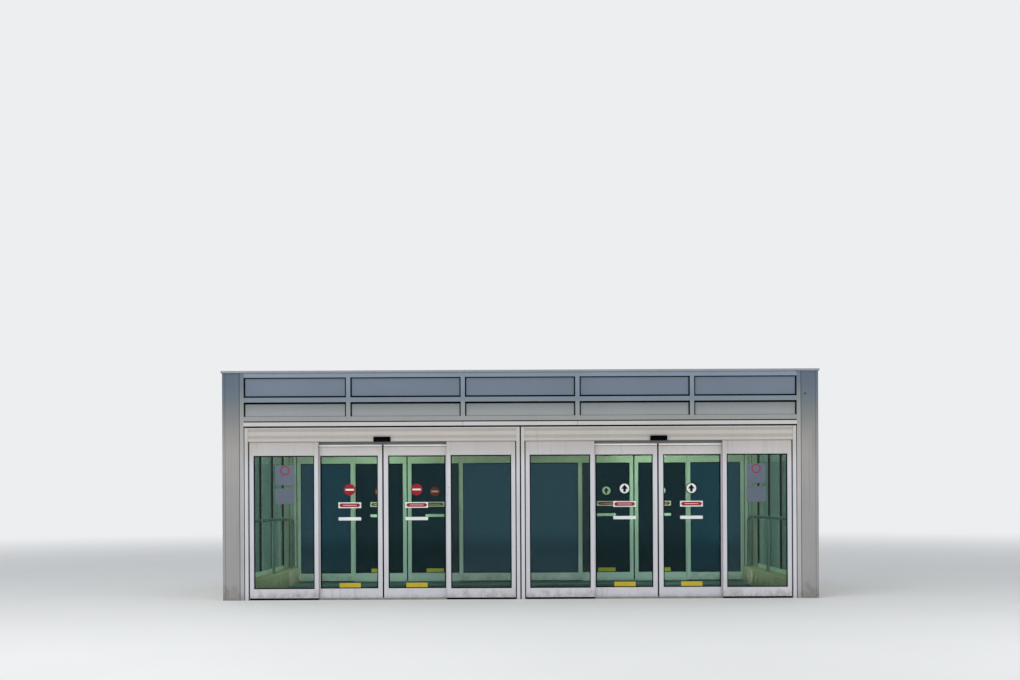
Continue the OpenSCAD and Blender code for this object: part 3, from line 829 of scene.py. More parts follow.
FILM_WHITE = Coating("film_white", "joint_rubber", (214, 216, 214), 0.4)
FILM_BLACK = Coating("film_black", "joint_rubber", (8, 9, 10), ior=1.15, wear=0.01)
FILM_YELLOW = Coating("film_yellow", "joint_rubber", (184, 162, 44), ior=1.3)
FILM_SLATE = Coating("film_slate", "joint_rubber", (84, 94, 108), 0.45)


def piece(name: str, surface: Surface, finish: Finish, body: str = "lobby",
          smooth: float = 32.0) -> bpy.types.Object:
    """Makes an object of a surface, finishes it and lets it ride on a body.

    Args:
        name: Name of the piece.
        surface: Its skin.
        finish: Its finish.
        body: The body that it moves with.
        smooth: Edges up to this angle, in degrees, are shaded as round.

    Returns:
        The object.
    """
    mesh = bpy.data.meshes.new(name)
    sizes = np.concatenate([np.full(len(f), f.shape[1]) for f in surface.faces])
    corners = np.concatenate([f.ravel() for f in surface.faces])
    starts = np.concatenate([[0], np.cumsum(sizes)[:-1]])
    mesh.vertices.add(len(surface.points))
    mesh.vertices.foreach_set("co", surface.points.astype(np.float32).ravel())
    mesh.loops.add(len(corners))
    mesh.loops.foreach_set("vertex_index", corners.astype(np.int32))
    mesh.polygons.add(len(sizes))
    mesh.polygons.foreach_set("loop_start", starts.astype(np.int32))
    mesh.polygons.foreach_set("use_smooth", np.ones(len(sizes), bool))
    mesh.update(calc_edges=True)
    mesh.set_sharp_from_angle(angle=math.radians(smooth))
    mesh.materials.append(finish.material())
    built = bpy.data.objects.new(name, mesh)
    bpy.context.scene.collection.objects.link(built)
    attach(built, body)
    LOG.info("%s: %d faces on %s", name, len(sizes), body)
    return built


def dress(finish: Finish, *nodes: str) -> None:
    """Gives solids of the frame a finish."""
    for node in nodes:
        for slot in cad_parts[node].material_slots:
            slot.material = finish.material()
    LOG.info("%s on %s", finish.name, ", ".join(nodes))


# The lobby


@dataclass(frozen=True)
class Plan:
    """Sizes of the lobby that its pieces share.

    Args:
        centres: X of the middle of the exit set and of the entry set.
        rows: Y of the front face of the outer and of the inner row.
        half_front: X of the inner face of the full-height jambs.
        post: X of the outer face of a corner post.
        half_depth: Y of the front and rear faces.
        mullions: X of the mullions of the front.
        side_lines: Y of the mullion lines of a side wall.
        bars: Z of the lower edge of each row of bars.
        bar_height: Height of a bar.
        mullion_width: Face width of a mullion.
        height: Height to the coping.
        head: Height of the underside of the header.
        head_top: Height of its top.
    """

    centres: Pair = (-1.838, 1.838)
    rows: Pair = (-1.680, 1.520)
    half_front: float = 3.677
    post: float = 3.962
    half_depth: float = 1.680
    mullions: tuple[float, ...] = (-2.286, -0.762, 0.762, 2.286)
    side_lines: tuple[float, ...] = (-1.2632, -0.5011, 0.2611, 1.0232)
    bars: Triple = (2.380, 2.632, 2.960)
    bar_height: float = 0.062
    mullion_width: float = 0.057
    height: float = 3.022
    head: float = 2.107
    head_top: float = 2.293

    def set_origins(self) -> Array:
        """The low front middle of each of the four door sets."""
        return np.array([(x, y, 0) for y in self.rows for x in self.centres])

    def bays(self) -> list[Pair]:
        """Start and end of each bay of the front."""
        half = self.mullion_width / 2
        starts = [-self.half_front] + [x + half for x in self.mullions]
        ends = [x - half for x in self.mullions] + [self.half_front]
        return list(zip(starts, ends))


PLAN = Plan()


class Use(Enum):
    """What a door set is for."""

    EXIT = "exit"
    ENTRY = "entry"


class Hand(Enum):
    """The side of its set that a leaf is on, with the sign of its X."""

    LEFT = -1
    RIGHT = 1


@dataclass
class Glazing:
    """Metal bead and rubber that hold a pane in its frame, on both faces.

    Args:
        bead: Width of the bead.
        bead_rise: Height of the bead above the glass.
        rubber: Width of the rubber beside it.
        rubber_rise: Height of the rubber above the glass.
        sunk: Depth to which both stand in the frame and the glass.
    """

    bead: float = 0.003
    bead_rise: float = 0.012
    rubber: float = 0.013
    rubber_rise: float = 0.007
    sunk: float = 0.0004

    def rings(self, low: Point, high: Point) -> list[Surface]:
        """The bead and the rubber round a pane, each on both faces.

        The bead is a wedge with a round lip: its top falls from the frame
        towards the glass. The rubber is a low rounded fin inside it.

        Args:
            low: Lowest corner of the pane.
            high: Its highest corner.

        Returns:
            The beads and the rubbers.
        """
        b, r, d, w, s = self.bead, self.bead_rise, self.sunk, self.rubber, self.rubber_rise
        bead = [(-d, -d), (-d, r), (b * 0.5, r), (b * 0.85, r * 0.9), (b, r * 0.6), (b, -d)]
        fin = [(b, -d), (b, s), (b + w * 0.4, s), (b + w * 0.85, s * 0.5), (b + w, -d)]
        start, end = (low[0], low[2]), (high[0], high[2])
        return [join(mitred([(p, out * q) for p, q in shape], start, end, Axis.Y, place)
                     for place, out in ((low[1], -1.0), (high[1], 1.0)))
                for shape in (bead, fin)]


@dataclass
class Decals:
    """Plain discs, strips and plates stuck on the front of the glass.

    Args:
        film: Thickness of the film.
        disc_height: Height of the middle of the disc.
        disc_radius: Radius of the disc.
        rim: Radius of the white disc on a black one, as a share of that.
        bar: Width and height of the white bar on a red disc.
        strip_height: Height of the middle of the red strip.
        strip: Width and height of the white film under the red strip.
        inset: How much narrower and lower than that the red strip is.
        line: Width and height of the pale line on it.
        band_height: Height of the middle of the white strip.
        band: Width and height of the white strip.
        plate_height: Height of the middle of the yellow plate.
        plate: Width and height of the yellow plate.
        arrow: The seven corners of the arrow, as shares of the disc's radius.
    """

    film: float = 0.0004
    disc_height: float = 1.467
    disc_radius: float = 0.077
    rim: float = 0.84
    bar: Pair = (0.112, 0.023)
    strip_height: float = 1.260
    strip: Pair = (0.304, 0.076)
    inset: Pair = (0.020, 0.026)
    line: Pair = (0.1824, 0.006)
    band_height: float = 1.078
    band: Pair = (0.302, 0.043)
    plate_height: float = 0.180
    plate: Pair = (0.283, 0.080)
    arrow: Outline = ((-0.20, -0.60), (0.20, -0.60), (0.24, -0.06), (0.60, -0.06),
                      (0.0, 0.70), (-0.60, -0.06), (-0.24, -0.06))

    def sheet(self, at: Point, size: Pair, layer: int = 1) -> Surface:
        """A flat film round a point of the glass, a layer above another."""
        (x, y, z), (w, h) = at, size
        return bar((x - w / 2, y - layer * self.film, z - h / 2), (x + w / 2, y, z + h / 2),
                   self.film / 5)

    def disc(self, at: Point, radius: float, layer: int = 1) -> Surface:
        """A round film."""
        return lathe([(radius, 0.0), (radius, -layer * self.film)], at, Axis.Y, 48)

    def shape(self, at: Point, outline: Outline, layer: int) -> Surface:
        """A film cut along an outline given from its own middle."""
        x, y, z = at
        return run([(x + u, z + v) for u, v in outline], Axis.Y, y - layer * self.film, y)

    def pointed(self, at: Point, size: Pair, layer: int) -> Surface:
        """A level strip with both ends cut to a point."""
        u, v = size[0] / 2, size[1] / 2
        cut = u - v * 0.8
        outline = [(-u, 0.0), (-cut, -v), (cut, -v), (u, 0.0), (cut, v), (-cut, v)]
        return self.shape(at, outline, layer)

    def films(self, use: Use, x: float, y: float) -> list[tuple[str, Surface, Finish]]:
        """All films of a leaf.

        Args:
            use: What the door set is for.
            x: Middle of the films.
            y: Front face of the glass.

        Returns:
            A name, a skin and a finish for each colour.
        """
        r, top, strip = self.disc_radius, (x, y, self.disc_height), (x, y, self.strip_height)
        white = [self.sheet(strip, self.strip), self.sheet((x, y, self.band_height), self.band),
                 self.sheet(strip, self.line, 3)]
        size = (self.strip[0] - self.inset[0], self.strip[1] - self.inset[1])
        red, found = [self.pointed(strip, size, 2)], []
        if use is Use.EXIT:
            red.append(self.disc(top, r))
            white.append(self.sheet(top, self.bar, 2))
        else:
            arrow = self.shape(top, [(u * r, v * r) for u, v in self.arrow], 3)
            white.append(self.disc(top, r * self.rim, 2))
            found.append(("black", join([self.disc(top, r), arrow]), FILM_BLACK))
        plate = self.sheet((x, y, self.plate_height), self.plate)
        return found + [("red", join(red), FILM_RED), ("white", join(white), FILM_WHITE),
                        ("yellow", plate, FILM_YELLOW)]


@dataclass
class Leaf:
    """One sliding leaf: its metal, its glass, seals, films and small parts.

    X is counted from the middle of the door set outwards, Y from the row's
    front.

    Args:
        row: 0 for the outer row and 1 for the inner row.
        use: What its door set is for.
        hand: The side of the set that it is on.
        nose: How far the seal on the meeting stile stands out.
        seal: Half the width of the seal, and how deep it stands in the stile.
        seal_y: Y midway between the seals of both leaves, and of each from there.
        seal_z: Lowest and highest point of the seal.
        film_x: X of the middle of the films.
        pane_z: Lowest and highest point of the bars beside the outer stile.
        lip: X of both sides of the metal lip of that stile, and Y of its front.
        shadow: The same of the black strip between the lip and the pane, a gasket widened into
            painted shadow of the gap behind the sidelite.
        bar_back: Y of the back of both.
        rail_y: Y of the front of the top rail.
        joint: Height of the dark joint over the top rail, with its thickness.
        cover: Height of the pale cover of the hanging strip, with its thickness.
        plug: X and Z of the plug in the bottom rail.
        plug_y: Y of that rail's front and back.
    """

    row: int
    use: Use
    hand: Hand
    nose: float = 0.0135
    seal: Pair = (0.004, 0.0005)
    seal_y: Pair = (0.1025, 0.010)
    seal_z: Pair = (0.024, 2.074)
    film_x: float = 0.447
    pane_z: Pair = (0.1455, 1.9225)
    lip: Triple = (0.838, 0.8494, 0.0815)
    shadow: Triple = (0.821, 0.8378, 0.088)
    bar_back: float = 0.0977
    rail_y: float = 0.0823
    joint: Triple = (2.0388, 2.0444, 0.001)
    cover: Triple = (2.0446, 2.0684, 0.0012)
    plug: Pair = (0.458, 0.055)
    plug_y: Pair = (0.080, 0.125)

    @property
    def body(self) -> str:
        """Name of the body that the leaf is."""
        return "_".join((("outer", "inner")[self.row], self.use.value, self.hand.name.lower()))

    @property
    def front(self) -> float:
        """Y of the front of the leaf's row."""
        return PLAN.rows[self.row]

    def x(self, reach: float) -> float:
        """X of what lies this far from the middle of the set, on the leaf's side."""
        return PLAN.centres[0 if self.use is Use.EXIT else 1] + self.hand.value * reach

    def build(self) -> None:
        """Dresses the leaf and adds its pieces."""
        body = self.body
        dress(SATIN, f"{body}_leaf")
        dress(LEAF_GLASS, f"{body}_glass")
        low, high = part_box(f"{body}_glass")
        beads, fins = Glazing().rings(low, high)
        # The black strip beside the stile is painted shadow of the gap behind the sidelite; it
        # goes into the rubbers piece.
        black = [fins, self.upright_seal(), self.beside_stile(*self.shadow),
                 self.over_rail(*self.joint, 0.0003)]
        x, z = self.plug
        heads = plugs(self.x(x), [self.front + y for y in self.plug_y], z)
        found = [("beads", join([beads, self.beside_stile(*self.lip)]), SATIN),
                 ("strip", self.over_rail(*self.cover, 0.0004), STRIP),
                 ("rubbers", join(black), GASKET), ("plugs", heads, RAIL)]
        films = Decals().films(self.use, self.x(self.film_x), low[1])
        found += [(f"film_{colour}", surface, finish) for colour, surface, finish in films]
        for name, surface, finish in found:
            piece(f"{body}_{name}", surface, finish, body)

    def upright_seal(self) -> Surface:
        """Rounded rubber fin along the meeting stile.

        The fins of the two leaves pass each other without touching: the left
        one lies in front. The section of a fin is half an ellipse: the cosine
        of the angle times the nose out from the stile and the sine times half
        the width along it.
        """
        low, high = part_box(f"{self.body}_leaf")
        inner = low[0] if self.hand is Hand.RIGHT else high[0]
        angle = np.linspace(-np.pi / 2, np.pi / 2, 11)
        half, sunk = self.seal
        x = inner - self.hand.value * (self.nose * np.cos(angle) - sunk)
        y = self.front + self.seal_y[0] + self.seal_y[1] * self.hand.value + half * np.sin(angle)
        return run(list(zip(x, y)), Axis.Z, *self.seal_z)

    def beside_stile(self, start: float, end: float, y: float) -> Surface:
        """Upright bar on the pane, next to the stile that the sidelite covers."""
        x = sorted((self.x(start), self.x(end)))
        return bar((x[0], self.front + y, self.pane_z[0]),
                   (x[1], self.front + self.bar_back, self.pane_z[1]), 0.001)

    def over_rail(self, foot: float, head: float, thick: float, bevel: float) -> Surface:
        """Level bar along the leaf, in front of the strip that it hangs from."""
        low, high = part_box(f"{self.body}_leaf")
        y, side = self.front + self.rail_y, 0.002
        return bar((low[0] + side, y - thick, foot), (high[0] - side, y, head), bevel)


@dataclass
class Sidelites:
    """The fixed glass panels at both ends of every door set.

    X is counted from the middle of the set, Y from the row's front.

    Args:
        pane: Lowest and highest corner of the pane.
        strips: The brush behind the meeting stile that the leaf runs past, the
        thin black line under the header, and the black strip in front of
        the sill, which is painted shadow under the frame.
        plug_y: Y of the bottom rail's front and back.
        plug_z: Height of the plugs in it.
        lock: X and Z of the two lock screws in one meeting stile.
        lock_y: Y of that stile's face.
        plate_x: X of the middle of the two plates, from the lobby's middle.
        plate_width: Width of those plates.
        plates: Z of the lower and upper edge of each plate.
        ring: Outer and inner radius of the ring on the upper plate.
        ring_height: Height of its middle.
        ring_out: How far its back and its front stand before the glass.
    """

    pane: tuple[Point, Point] = ((0.9063, 0.0375, 0.1443), (1.7177, 0.0475, 1.9237))
    strips: tuple[Bar, ...] = (
        ((0.872, 0.0648, 0.030), (0.886, 0.0735, 2.034), 0.002),
        ((0.854, 0.0185, PLAN.head - 0.0022), (1.770, 0.0205, PLAN.head - 0.0004), 0.0003),
        # Painted shadow: a black strip in front of the sill, under the frame.
        ((0.854, 0.0184, 0.002), (1.770, 0.0345, 0.0255), 0.0012))
    plug_y: Pair = (0.020, 0.065)
    plug_z: float = 0.053
    lock: tuple[Pair, ...] = ((0.880, 1.486), (0.871, 1.400))
    lock_y: float = 0.020
    plate_x: float = 3.139
    plate_width: float = 0.256
    plates: tuple[Pair, ...] = ((1.280, 1.488), (1.532, 1.792))
    ring: Pair = (0.061, 0.049)
    ring_height: float = 1.724
    ring_out: Pair = (0.0004, 0.0012)

    def build(self) -> None:
        """Dresses the sidelites and adds their pieces."""
        dress(FIXED, "sidelite_frames")
        dress(GLASS, "sidelite_glass")
        beads, fins = Glazing().rings(*self.pane)
        black = join([fins, *(bar(*strip) for strip in self.strips)])
        heads = plugs((self.pane[0][0] + self.pane[1][0]) / 2, self.plug_y, self.plug_z)
        # The rubbers include the painted shadow strip in front of the sill.
        for name, surface, finish in (("beads", beads, SATIN), ("rubbers", black, GASKET),
                                      ("plugs", heads, RAIL)):
            piece(f"sidelite_{name}", surface.both(Axis.X).copies(PLAN.set_origins()), finish)
        piece("sidelite_lock_screws", self.lock_screws(), BEAM)
        piece("sidelite_film_slate", self.slates().both(Axis.X), FILM_SLATE)
        piece("sidelite_film_ring", self.loop().both(Axis.X), FILM_RED)

    def lock_screws(self) -> Surface:
        """Two dark screws in the right meeting stile of the outer exit set."""
        y = PLAN.rows[0] + self.lock_y
        return join(screw((PLAN.centres[0] + x, y, z), Axis.Y, -1.0) for x, z in self.lock)

    def slates(self) -> Surface:
        """Two plain slate plates on the outermost pane of the outer row."""
        y, films = PLAN.rows[0] + self.pane[0][1], Decals()
        return join(films.sheet((self.plate_x, y, (a + b) / 2), (self.plate_width, b - a))
                    for a, b in self.plates)

    def loop(self) -> Surface:
        """Flat ring on the upper plate.

        Its four edges are circles: the radius times the cosine of the angle to
        the side, and times the sine of the angle upwards.
        """
        angle = np.linspace(0, 2 * np.pi, 48, endpoint=False)
        (outer, inner), (back, front) = self.ring, self.ring_out
        radius = np.array([outer, outer, inner, inner])
        depth = -np.array([back, front, front, back])
        rings = np.broadcast_arrays(self.plate_x + np.outer(np.cos(angle), radius),
                                    PLAN.rows[0] + self.pane[0][1] + depth,
                                    self.ring_height + np.outer(np.sin(angle), radius))
        return loft(np.stack(rings, -1), closed=True)


@dataclass
class Headers:
    """Headers, jambs and joints of the door sets, with the sensors on them.

    Args:
        sensor: Depth, height and width of a sensor.
        sensor_z: Height of its underside.
        faces: Y of the header's front and back faces under a sensor.
        section: Corners of the sensor's section, as shares of its depth and height.
        window: Corners of its window's section, in the same way.
        window_width: Its width, as a share of the sensor's.
        rounded: Length of the sensor's rounded ends.
        narrow: Size of the section at the ends, as a share of its own.
        brush: Dark brush under the header, in front of the gap above the leaves.
        screws_x: X of the last screws of the cover.
        screws_y: Y of the cover's inner side.
        screws_in: Distance of the screws from the cover's foot and top.
        sealant: Sealant in the joints beside the full-height jambs.
        rib: One of the fine ribs along the low part of the sill.
        ribs_y: Y of the first and of the last rib.
    """

    sensor: Triple = (0.045, 0.067, 0.223)
    sensor_z: float = 2.102
    faces: Pair = (0.0027, 0.1573)
    section: Outline = ((0, 0), (-0.4, 0), (-0.5, 0.03), (-0.95, 0.29), (-1.0, 0.37),
                        (-1.0, 0.78), (-0.96, 0.9), (-0.85, 0.98), (-0.75, 1.0), (0, 1.0))
    window: Outline = ((-0.57, 0.075), (-0.9, 0.262), (-0.925, 0.245), (-0.585, 0.045))
    window_width: float = 0.64
    rounded: float = 0.010
    narrow: float = 0.84
    brush: Bar = ((-0.852, 0.0655, 2.068), (0.852, 0.0712, PLAN.head - 0.0002), 0.0015)
    screws_x: float = 1.70
    screws_y: float = 0.157
    screws_in: float = 0.014
    sealant: tuple[Bar, ...] = (
        ((3.6675, 0.007 - PLAN.half_depth, 0.0),
         (3.6765, 0.0128 - PLAN.half_depth, PLAN.head_top), 0.0004),
        ((3.7302, 0.006 - PLAN.half_depth, 0.0),
         (3.7358, 0.145 - PLAN.half_depth, PLAN.height), 0.0004))
    rib: Bar = ((-1.780, -0.0018, 0.0117), (1.780, 0.0018, 0.0129), 0.0005)
    ribs_y: Pair = (0.088, 0.148)

    def build(self) -> None:
        """Dresses the headers and adds their pieces."""
        dress(HEADER, "header_channels", "header_covers")
        dress(SATIN, "door_jambs")
        dress(PORTAL, "portal_jambs")
        dress(JOINT, "rubber_joints", "track_stops")
        dress(PLASTIC, "door_sensors")
        dress(SILL, "door_sills")
        sets = PLAN.set_origins()
        shell = piece("sensor_housings", self.on_faces(self.housing()).copies(sets), PLASTIC)
        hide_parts("door_sensors")
        depth, height, width = self.sensor
        half = width * self.window_width / 2
        window = run([(depth * u, height * v) for u, v in self.window], Axis.X, -half, half)
        sealant = join(bar(*joint) for joint in self.sealant)
        ribs = bar(*self.rib).along(Axis.Y, np.linspace(*self.ribs_y, 9))
        piece("sensor_windows", self.on_faces(window).copies(sets), WINDOW)
        piece("header_screws", self.cover_screws().copies(sets), RAIL)
        piece("jamb_sealant", sealant.both(Axis.X).both(Axis.Y), JOINT)
        piece("sill_ribs", ribs.copies(sets), SILL)
        piece("header_brushes", bar(*self.brush).copies(sets), BRISTLE)

    def on_faces(self, part: Surface) -> Surface:
        """A part of a sensor on the front of the header, and its image on the back."""
        front, back = self.faces
        return join([part.copies((0, front, self.sensor_z)),
                     part.mirrored(Axis.Y).copies((0, back, self.sensor_z))])

    def housing(self) -> Surface:
        """The shell of a sensor.

        It is a rounded section carried along X: each ring is the section drawn
        towards its middle near the ends by the square root of one less the
        square of the place in the rounded end.
        """
        depth, height, width = self.sensor
        section = np.array(self.section) * (depth, height)
        middle = np.array([-depth / 2, height / 2])
        end = np.linspace(0, 1, 6)
        shrink = np.sqrt(1 - (1 - end) ** 2) * (1 - self.narrow) + self.narrow
        place = self.rounded * end - width / 2
        size = np.concatenate([shrink, shrink[::-1]])
        across = middle + (section - middle) * size[:, None, None]
        across[:, :, 0] = np.minimum(across[:, :, 0], 0.0)
        across[:, [0, -1], 0] = 0.0
        rings = np.empty((len(size), len(section), 3))
        rings[:, :, 0] = np.concatenate([place, -place[::-1]])[:, None]
        rings[:, :, 1:] = across
        return loft(rings)

    def cover_screws(self) -> Surface:
        """Screws along the top and the foot of the cover, on its inner side."""
        heights = (PLAN.head + self.screws_in, PLAN.head_top - self.screws_in)
        offsets = [(x, 0, z) for x in np.linspace(-self.screws_x, self.screws_x, 9)
                   for z in heights]
        return screw((0, self.screws_y, 0), Axis.Y, 1.0).copies(np.array(offsets))


@dataclass
class Band:
    """The band of panels above the doors and round the sides.

    Args:
        panel_y: Y of the outer face of the panels of the front.
        panel_x: X of the outer face of the panels of a side.
        gasket: Width of the upright parts of the gasket round a panel, widened to paint the shade
            in the panel's recess.
        rows: Width of the gasket's foot and of its head, for the lower and the upper row; the
            wider ones are also painted shade.
        lip: How far a gasket stands out from its panel.
        sunk: How deep it stands in the panel.
        trim: Section of a butt joint of the bright trim, as Y from the front and Z.
        trim_joint: Half the width of such a joint.
        drip: Black bead along the lower edge of the trim, a painted shadow line under it.
        blade: Black blade between two panes of a side wall, round Y 0: a joint in the glass, and
            where it stands inwards painted shade on the mullions.
    """

    panel_y: float = 0.030 - PLAN.half_depth
    panel_x: float = 3.8663
    gasket: float = 0.016
    rows: tuple[Pair, ...] = ((0.004, 0.022), (0.022, 0.010))
    lip: float = 0.009
    sunk: float = 0.0004
    trim: Outline = ((-0.0122, 2.3136), (-0.0122, 2.3594), (-0.0062, 2.3654),
                     (0.0178, 2.3654), (0.0178, 2.3076), (-0.0062, 2.3076))
    trim_joint: float = 0.0018
    drip: Bar = ((-3.676, -0.0118 - PLAN.half_depth, 2.3052),
                 (3.676, 0.0195 - PLAN.half_depth, 2.3138), 0.001)
    blade: Bar = ((3.716, -0.0058, 0.3125), (3.7462, 0.0058, 2.3785), 0.001)

    def build(self) -> None:
        """Dresses the band and adds its gaskets and joints."""
        dress(BAND, "front_transom_frame", "rear_transom_frame")
        dress(FRAME, "side_wall_frames")
        dress(LOWER_PANEL, "lower_transom_panels")
        dress(UPPER_PANEL, "upper_transom_panels")
        dress(BEAM, "lintel_beams")
        dress(BRIGHT, "header_trims")
        dress(SIDE_GLASS, "side_wall_glass")
        # The drip bead is a painted shadow line under the trim.
        drip = bar(*self.drip).both(Axis.Y)
        # The part of each blade inward of the glass is painted shade on the mullions.
        blades = bar(*self.blade).along(Axis.Y, PLAN.side_lines)
        piece("panel_gaskets", self.gaskets(), GASKET)
        piece("trim_joints", join([self.trim_joints(), drip]), GASKET)
        piece("side_glass_joints", blades.both(Axis.X), JOINT)

    def surround(self, low: Pair, high: Pair, widths: Pair, facing: Axis, depth: Pair) -> Surface:
        """Four bevelled bars round one panel.

        Args:
            low: Lowest corner of the panel in the two directions across its face.
            high: Its highest corner.
            widths: Width of the foot and of the head.
            facing: The axis at right angles to the panel.
            depth: Where the bars start and end on that axis.
        """
        (u0, z0), (u1, z1), g = low, high, self.gasket
        spans = [((u0, z0), (u0 + g, z1)), ((u1 - g, z0), (u1, z1)),
                 ((u0 + g, z0), (u1 - g, z0 + widths[0])),
                 ((u0 + g, z1 - widths[1]), (u1 - g, z1))]
        return join(bar(*(np.insert(corner, facing.value, place)
                          for corner, place in zip(span, depth)), 0.0012) for span in spans)

    def gaskets(self) -> Surface:
        """Black gasket round every panel, on the front, the rear and both sides, widened to paint
        the shade in the panels' recesses.
        """
        front = (self.panel_y - self.lip, self.panel_y + self.sunk)
        side = (self.panel_x - self.sunk, self.panel_x + self.lip)
        half, lines = PLAN.mullion_width / 2, PLAN.side_lines
        sides = [(a + half, b - half) for a, b in zip(lines, lines[1:])]
        found = []
        for z0, z1, widths in zip(PLAN.bars, PLAN.bars[1:], self.rows):
            foot = z0 + PLAN.bar_height
            for bays, facing, depth in ((PLAN.bays(), Axis.Y, front), (sides, Axis.X, side)):
                found += [self.surround((a, foot), (b, z1), widths, facing, depth).both(facing)
                          for a, b in bays]
        return join(found)

    def trim_joints(self) -> Surface:
        """Fine dark butt joints of the bright trim, in line with the inner mullions."""
        profile = [(y - PLAN.half_depth, z) for y, z in self.trim]
        joint = run(profile, Axis.X, -self.trim_joint, self.trim_joint)
        return joint.along(Axis.X, PLAN.mullions[1:3]).both(Axis.Y)


@dataclass
class Posts:
    """Corner posts with the narrow strip along their outer corner.

    Args:
        strip: Width of the corner strip.
        front_depth: Depth of a front post.
        rear_front: Y of the front face of a rear post.
        half: Half the width of a joint.
        sunk: Depth to which a joint stands in the post.
        out: How far it stands out.
    """

    strip: float = 0.038
    front_depth: float = 0.388
    rear_front: float = 1.052
    half: float = 0.0015
    sunk: float = 0.002
    out: float = 0.0003

    def build(self) -> None:
        """Dresses the posts and adds their joints."""
        dress(CLAD, "corner_posts")
        piece("post_joints", join([self.faces().both(Axis.Y), self.sides()]).both(Axis.X), JOINT)

    def upright(self, low: Pair, high: Pair) -> Surface:
        """A joint over the whole height."""
        return bar((*low, 0.0), (*high, PLAN.height), 0.0001)

    def faces(self) -> Surface:
        """The joint on the front face of a post."""
        x, front = PLAN.post - self.strip, -PLAN.half_depth
        return self.upright((x - self.half, front - self.out), (x + self.half, front + self.sunk))

    def sides(self) -> Surface:
        """The joints on the outer faces of a front and a rear post."""
        x, end = PLAN.post, PLAN.half_depth
        lines = (self.strip - end, self.front_depth - self.strip - end,
                 self.rear_front + self.strip, end - self.strip)
        joint = self.upright((x - self.sunk, -self.half), (x + self.out, self.half))
        return joint.along(Axis.Y, lines)


@dataclass
class GuardRails:
    """Tube rail along each side, with its posts, flanges and bolts.

    Args:
        x: X of the rail.
        z: Height of its axis.
        radius: Radius of the tube.
        bend: Radius of the bends.
        end: Y of the end posts.
        base: Height of the ledge that it stands on.
        flange: Radius and thickness of a flange.
        chamfer: Chamfer of the flange's edge.
        bead: The weld bead's section, as distance from the tube and height.
        bolts: Distance of the bolts from the middle of the flange.
        bolt: Radius of a bolt's head.
    """

    x: float = 3.655
    z: float = 1.043
    radius: float = 0.024
    bend: float = 0.110
    end: float = 1.430
    base: float = 0.250
    flange: Pair = (0.044, 0.008)
    chamfer: float = 0.0015
    bead: Outline = ((-0.002, 0.0), (0.004, 0.0), (0.003, 0.003), (-0.001, 0.005))
    bolts: float = 0.0345
    bolt: float = 0.0055

    def build(self) -> None:
        """Makes the rails, which stand for the solids of the frame."""
        dress(RAIL, "guard_rails")
        rails = piece("guard_rail_tubes", self.tubes().both(Axis.X), RAIL, smooth=45.0)
        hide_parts("guard_rails")
        piece("guard_rail_bolts", self.heads().both(Axis.X), SILL)

    def tubes(self) -> Surface:
        """The bent tube, the middle post, the flanges and the weld beads.

        The path is two quarter circles of the bend's radius, joined by a
        straight run and continued straight down to both flanges.
        """
        turn, foot = np.linspace(0, np.pi / 2, 14), self.base + 0.001
        y = self.end - self.bend + self.bend * np.cos(turn)
        z = self.z - self.bend + self.bend * np.sin(turn)
        half = np.vstack([[self.end, foot], np.column_stack([y, z])])
        line = np.vstack([half, [0.0, self.z], half[::-1] * (-1, 1)])
        path = np.column_stack([np.full(len(line), self.x), line])
        post = np.array([[self.x, 0, foot], [self.x, 0, self.z - 0.004]])
        (r, t), c, b = self.flange, self.chamfer, self.base
        plate = [(r, b), (r, b + t - c), (r - c, b + t), (0.001, b + t)]
        bead = [(self.radius + u, v) for u, v in self.bead]
        parts = [tube(path, self.radius, (1, 0, 0)), tube(post, self.radius, (1, 0, 0))]
        for place in (-self.end, 0.0, self.end):
            parts.append(lathe(plate, (self.x, place, 0), Axis.Z, 36))
            parts.append(lathe(bead, (self.x, place, b + t), Axis.Z))
        parts.append(lathe(bead, (self.x, 0, self.z - self.radius - 0.005), Axis.Z))
        return join(parts)

    def heads(self) -> Surface:
        """Four bolts on each flange, at 45 degrees to the rail."""
        reach = self.bolts * math.sqrt(0.5)
        head = screw((self.x, 0, self.base + self.flange[1]), Axis.Z, 1.0, self.bolt)
        return head.copies(np.array([(a * reach, y + b * reach, 0)
                                     for y in (-self.end, 0, self.end)
                                     for a in (-1, 1) for b in (-1, 1)]))


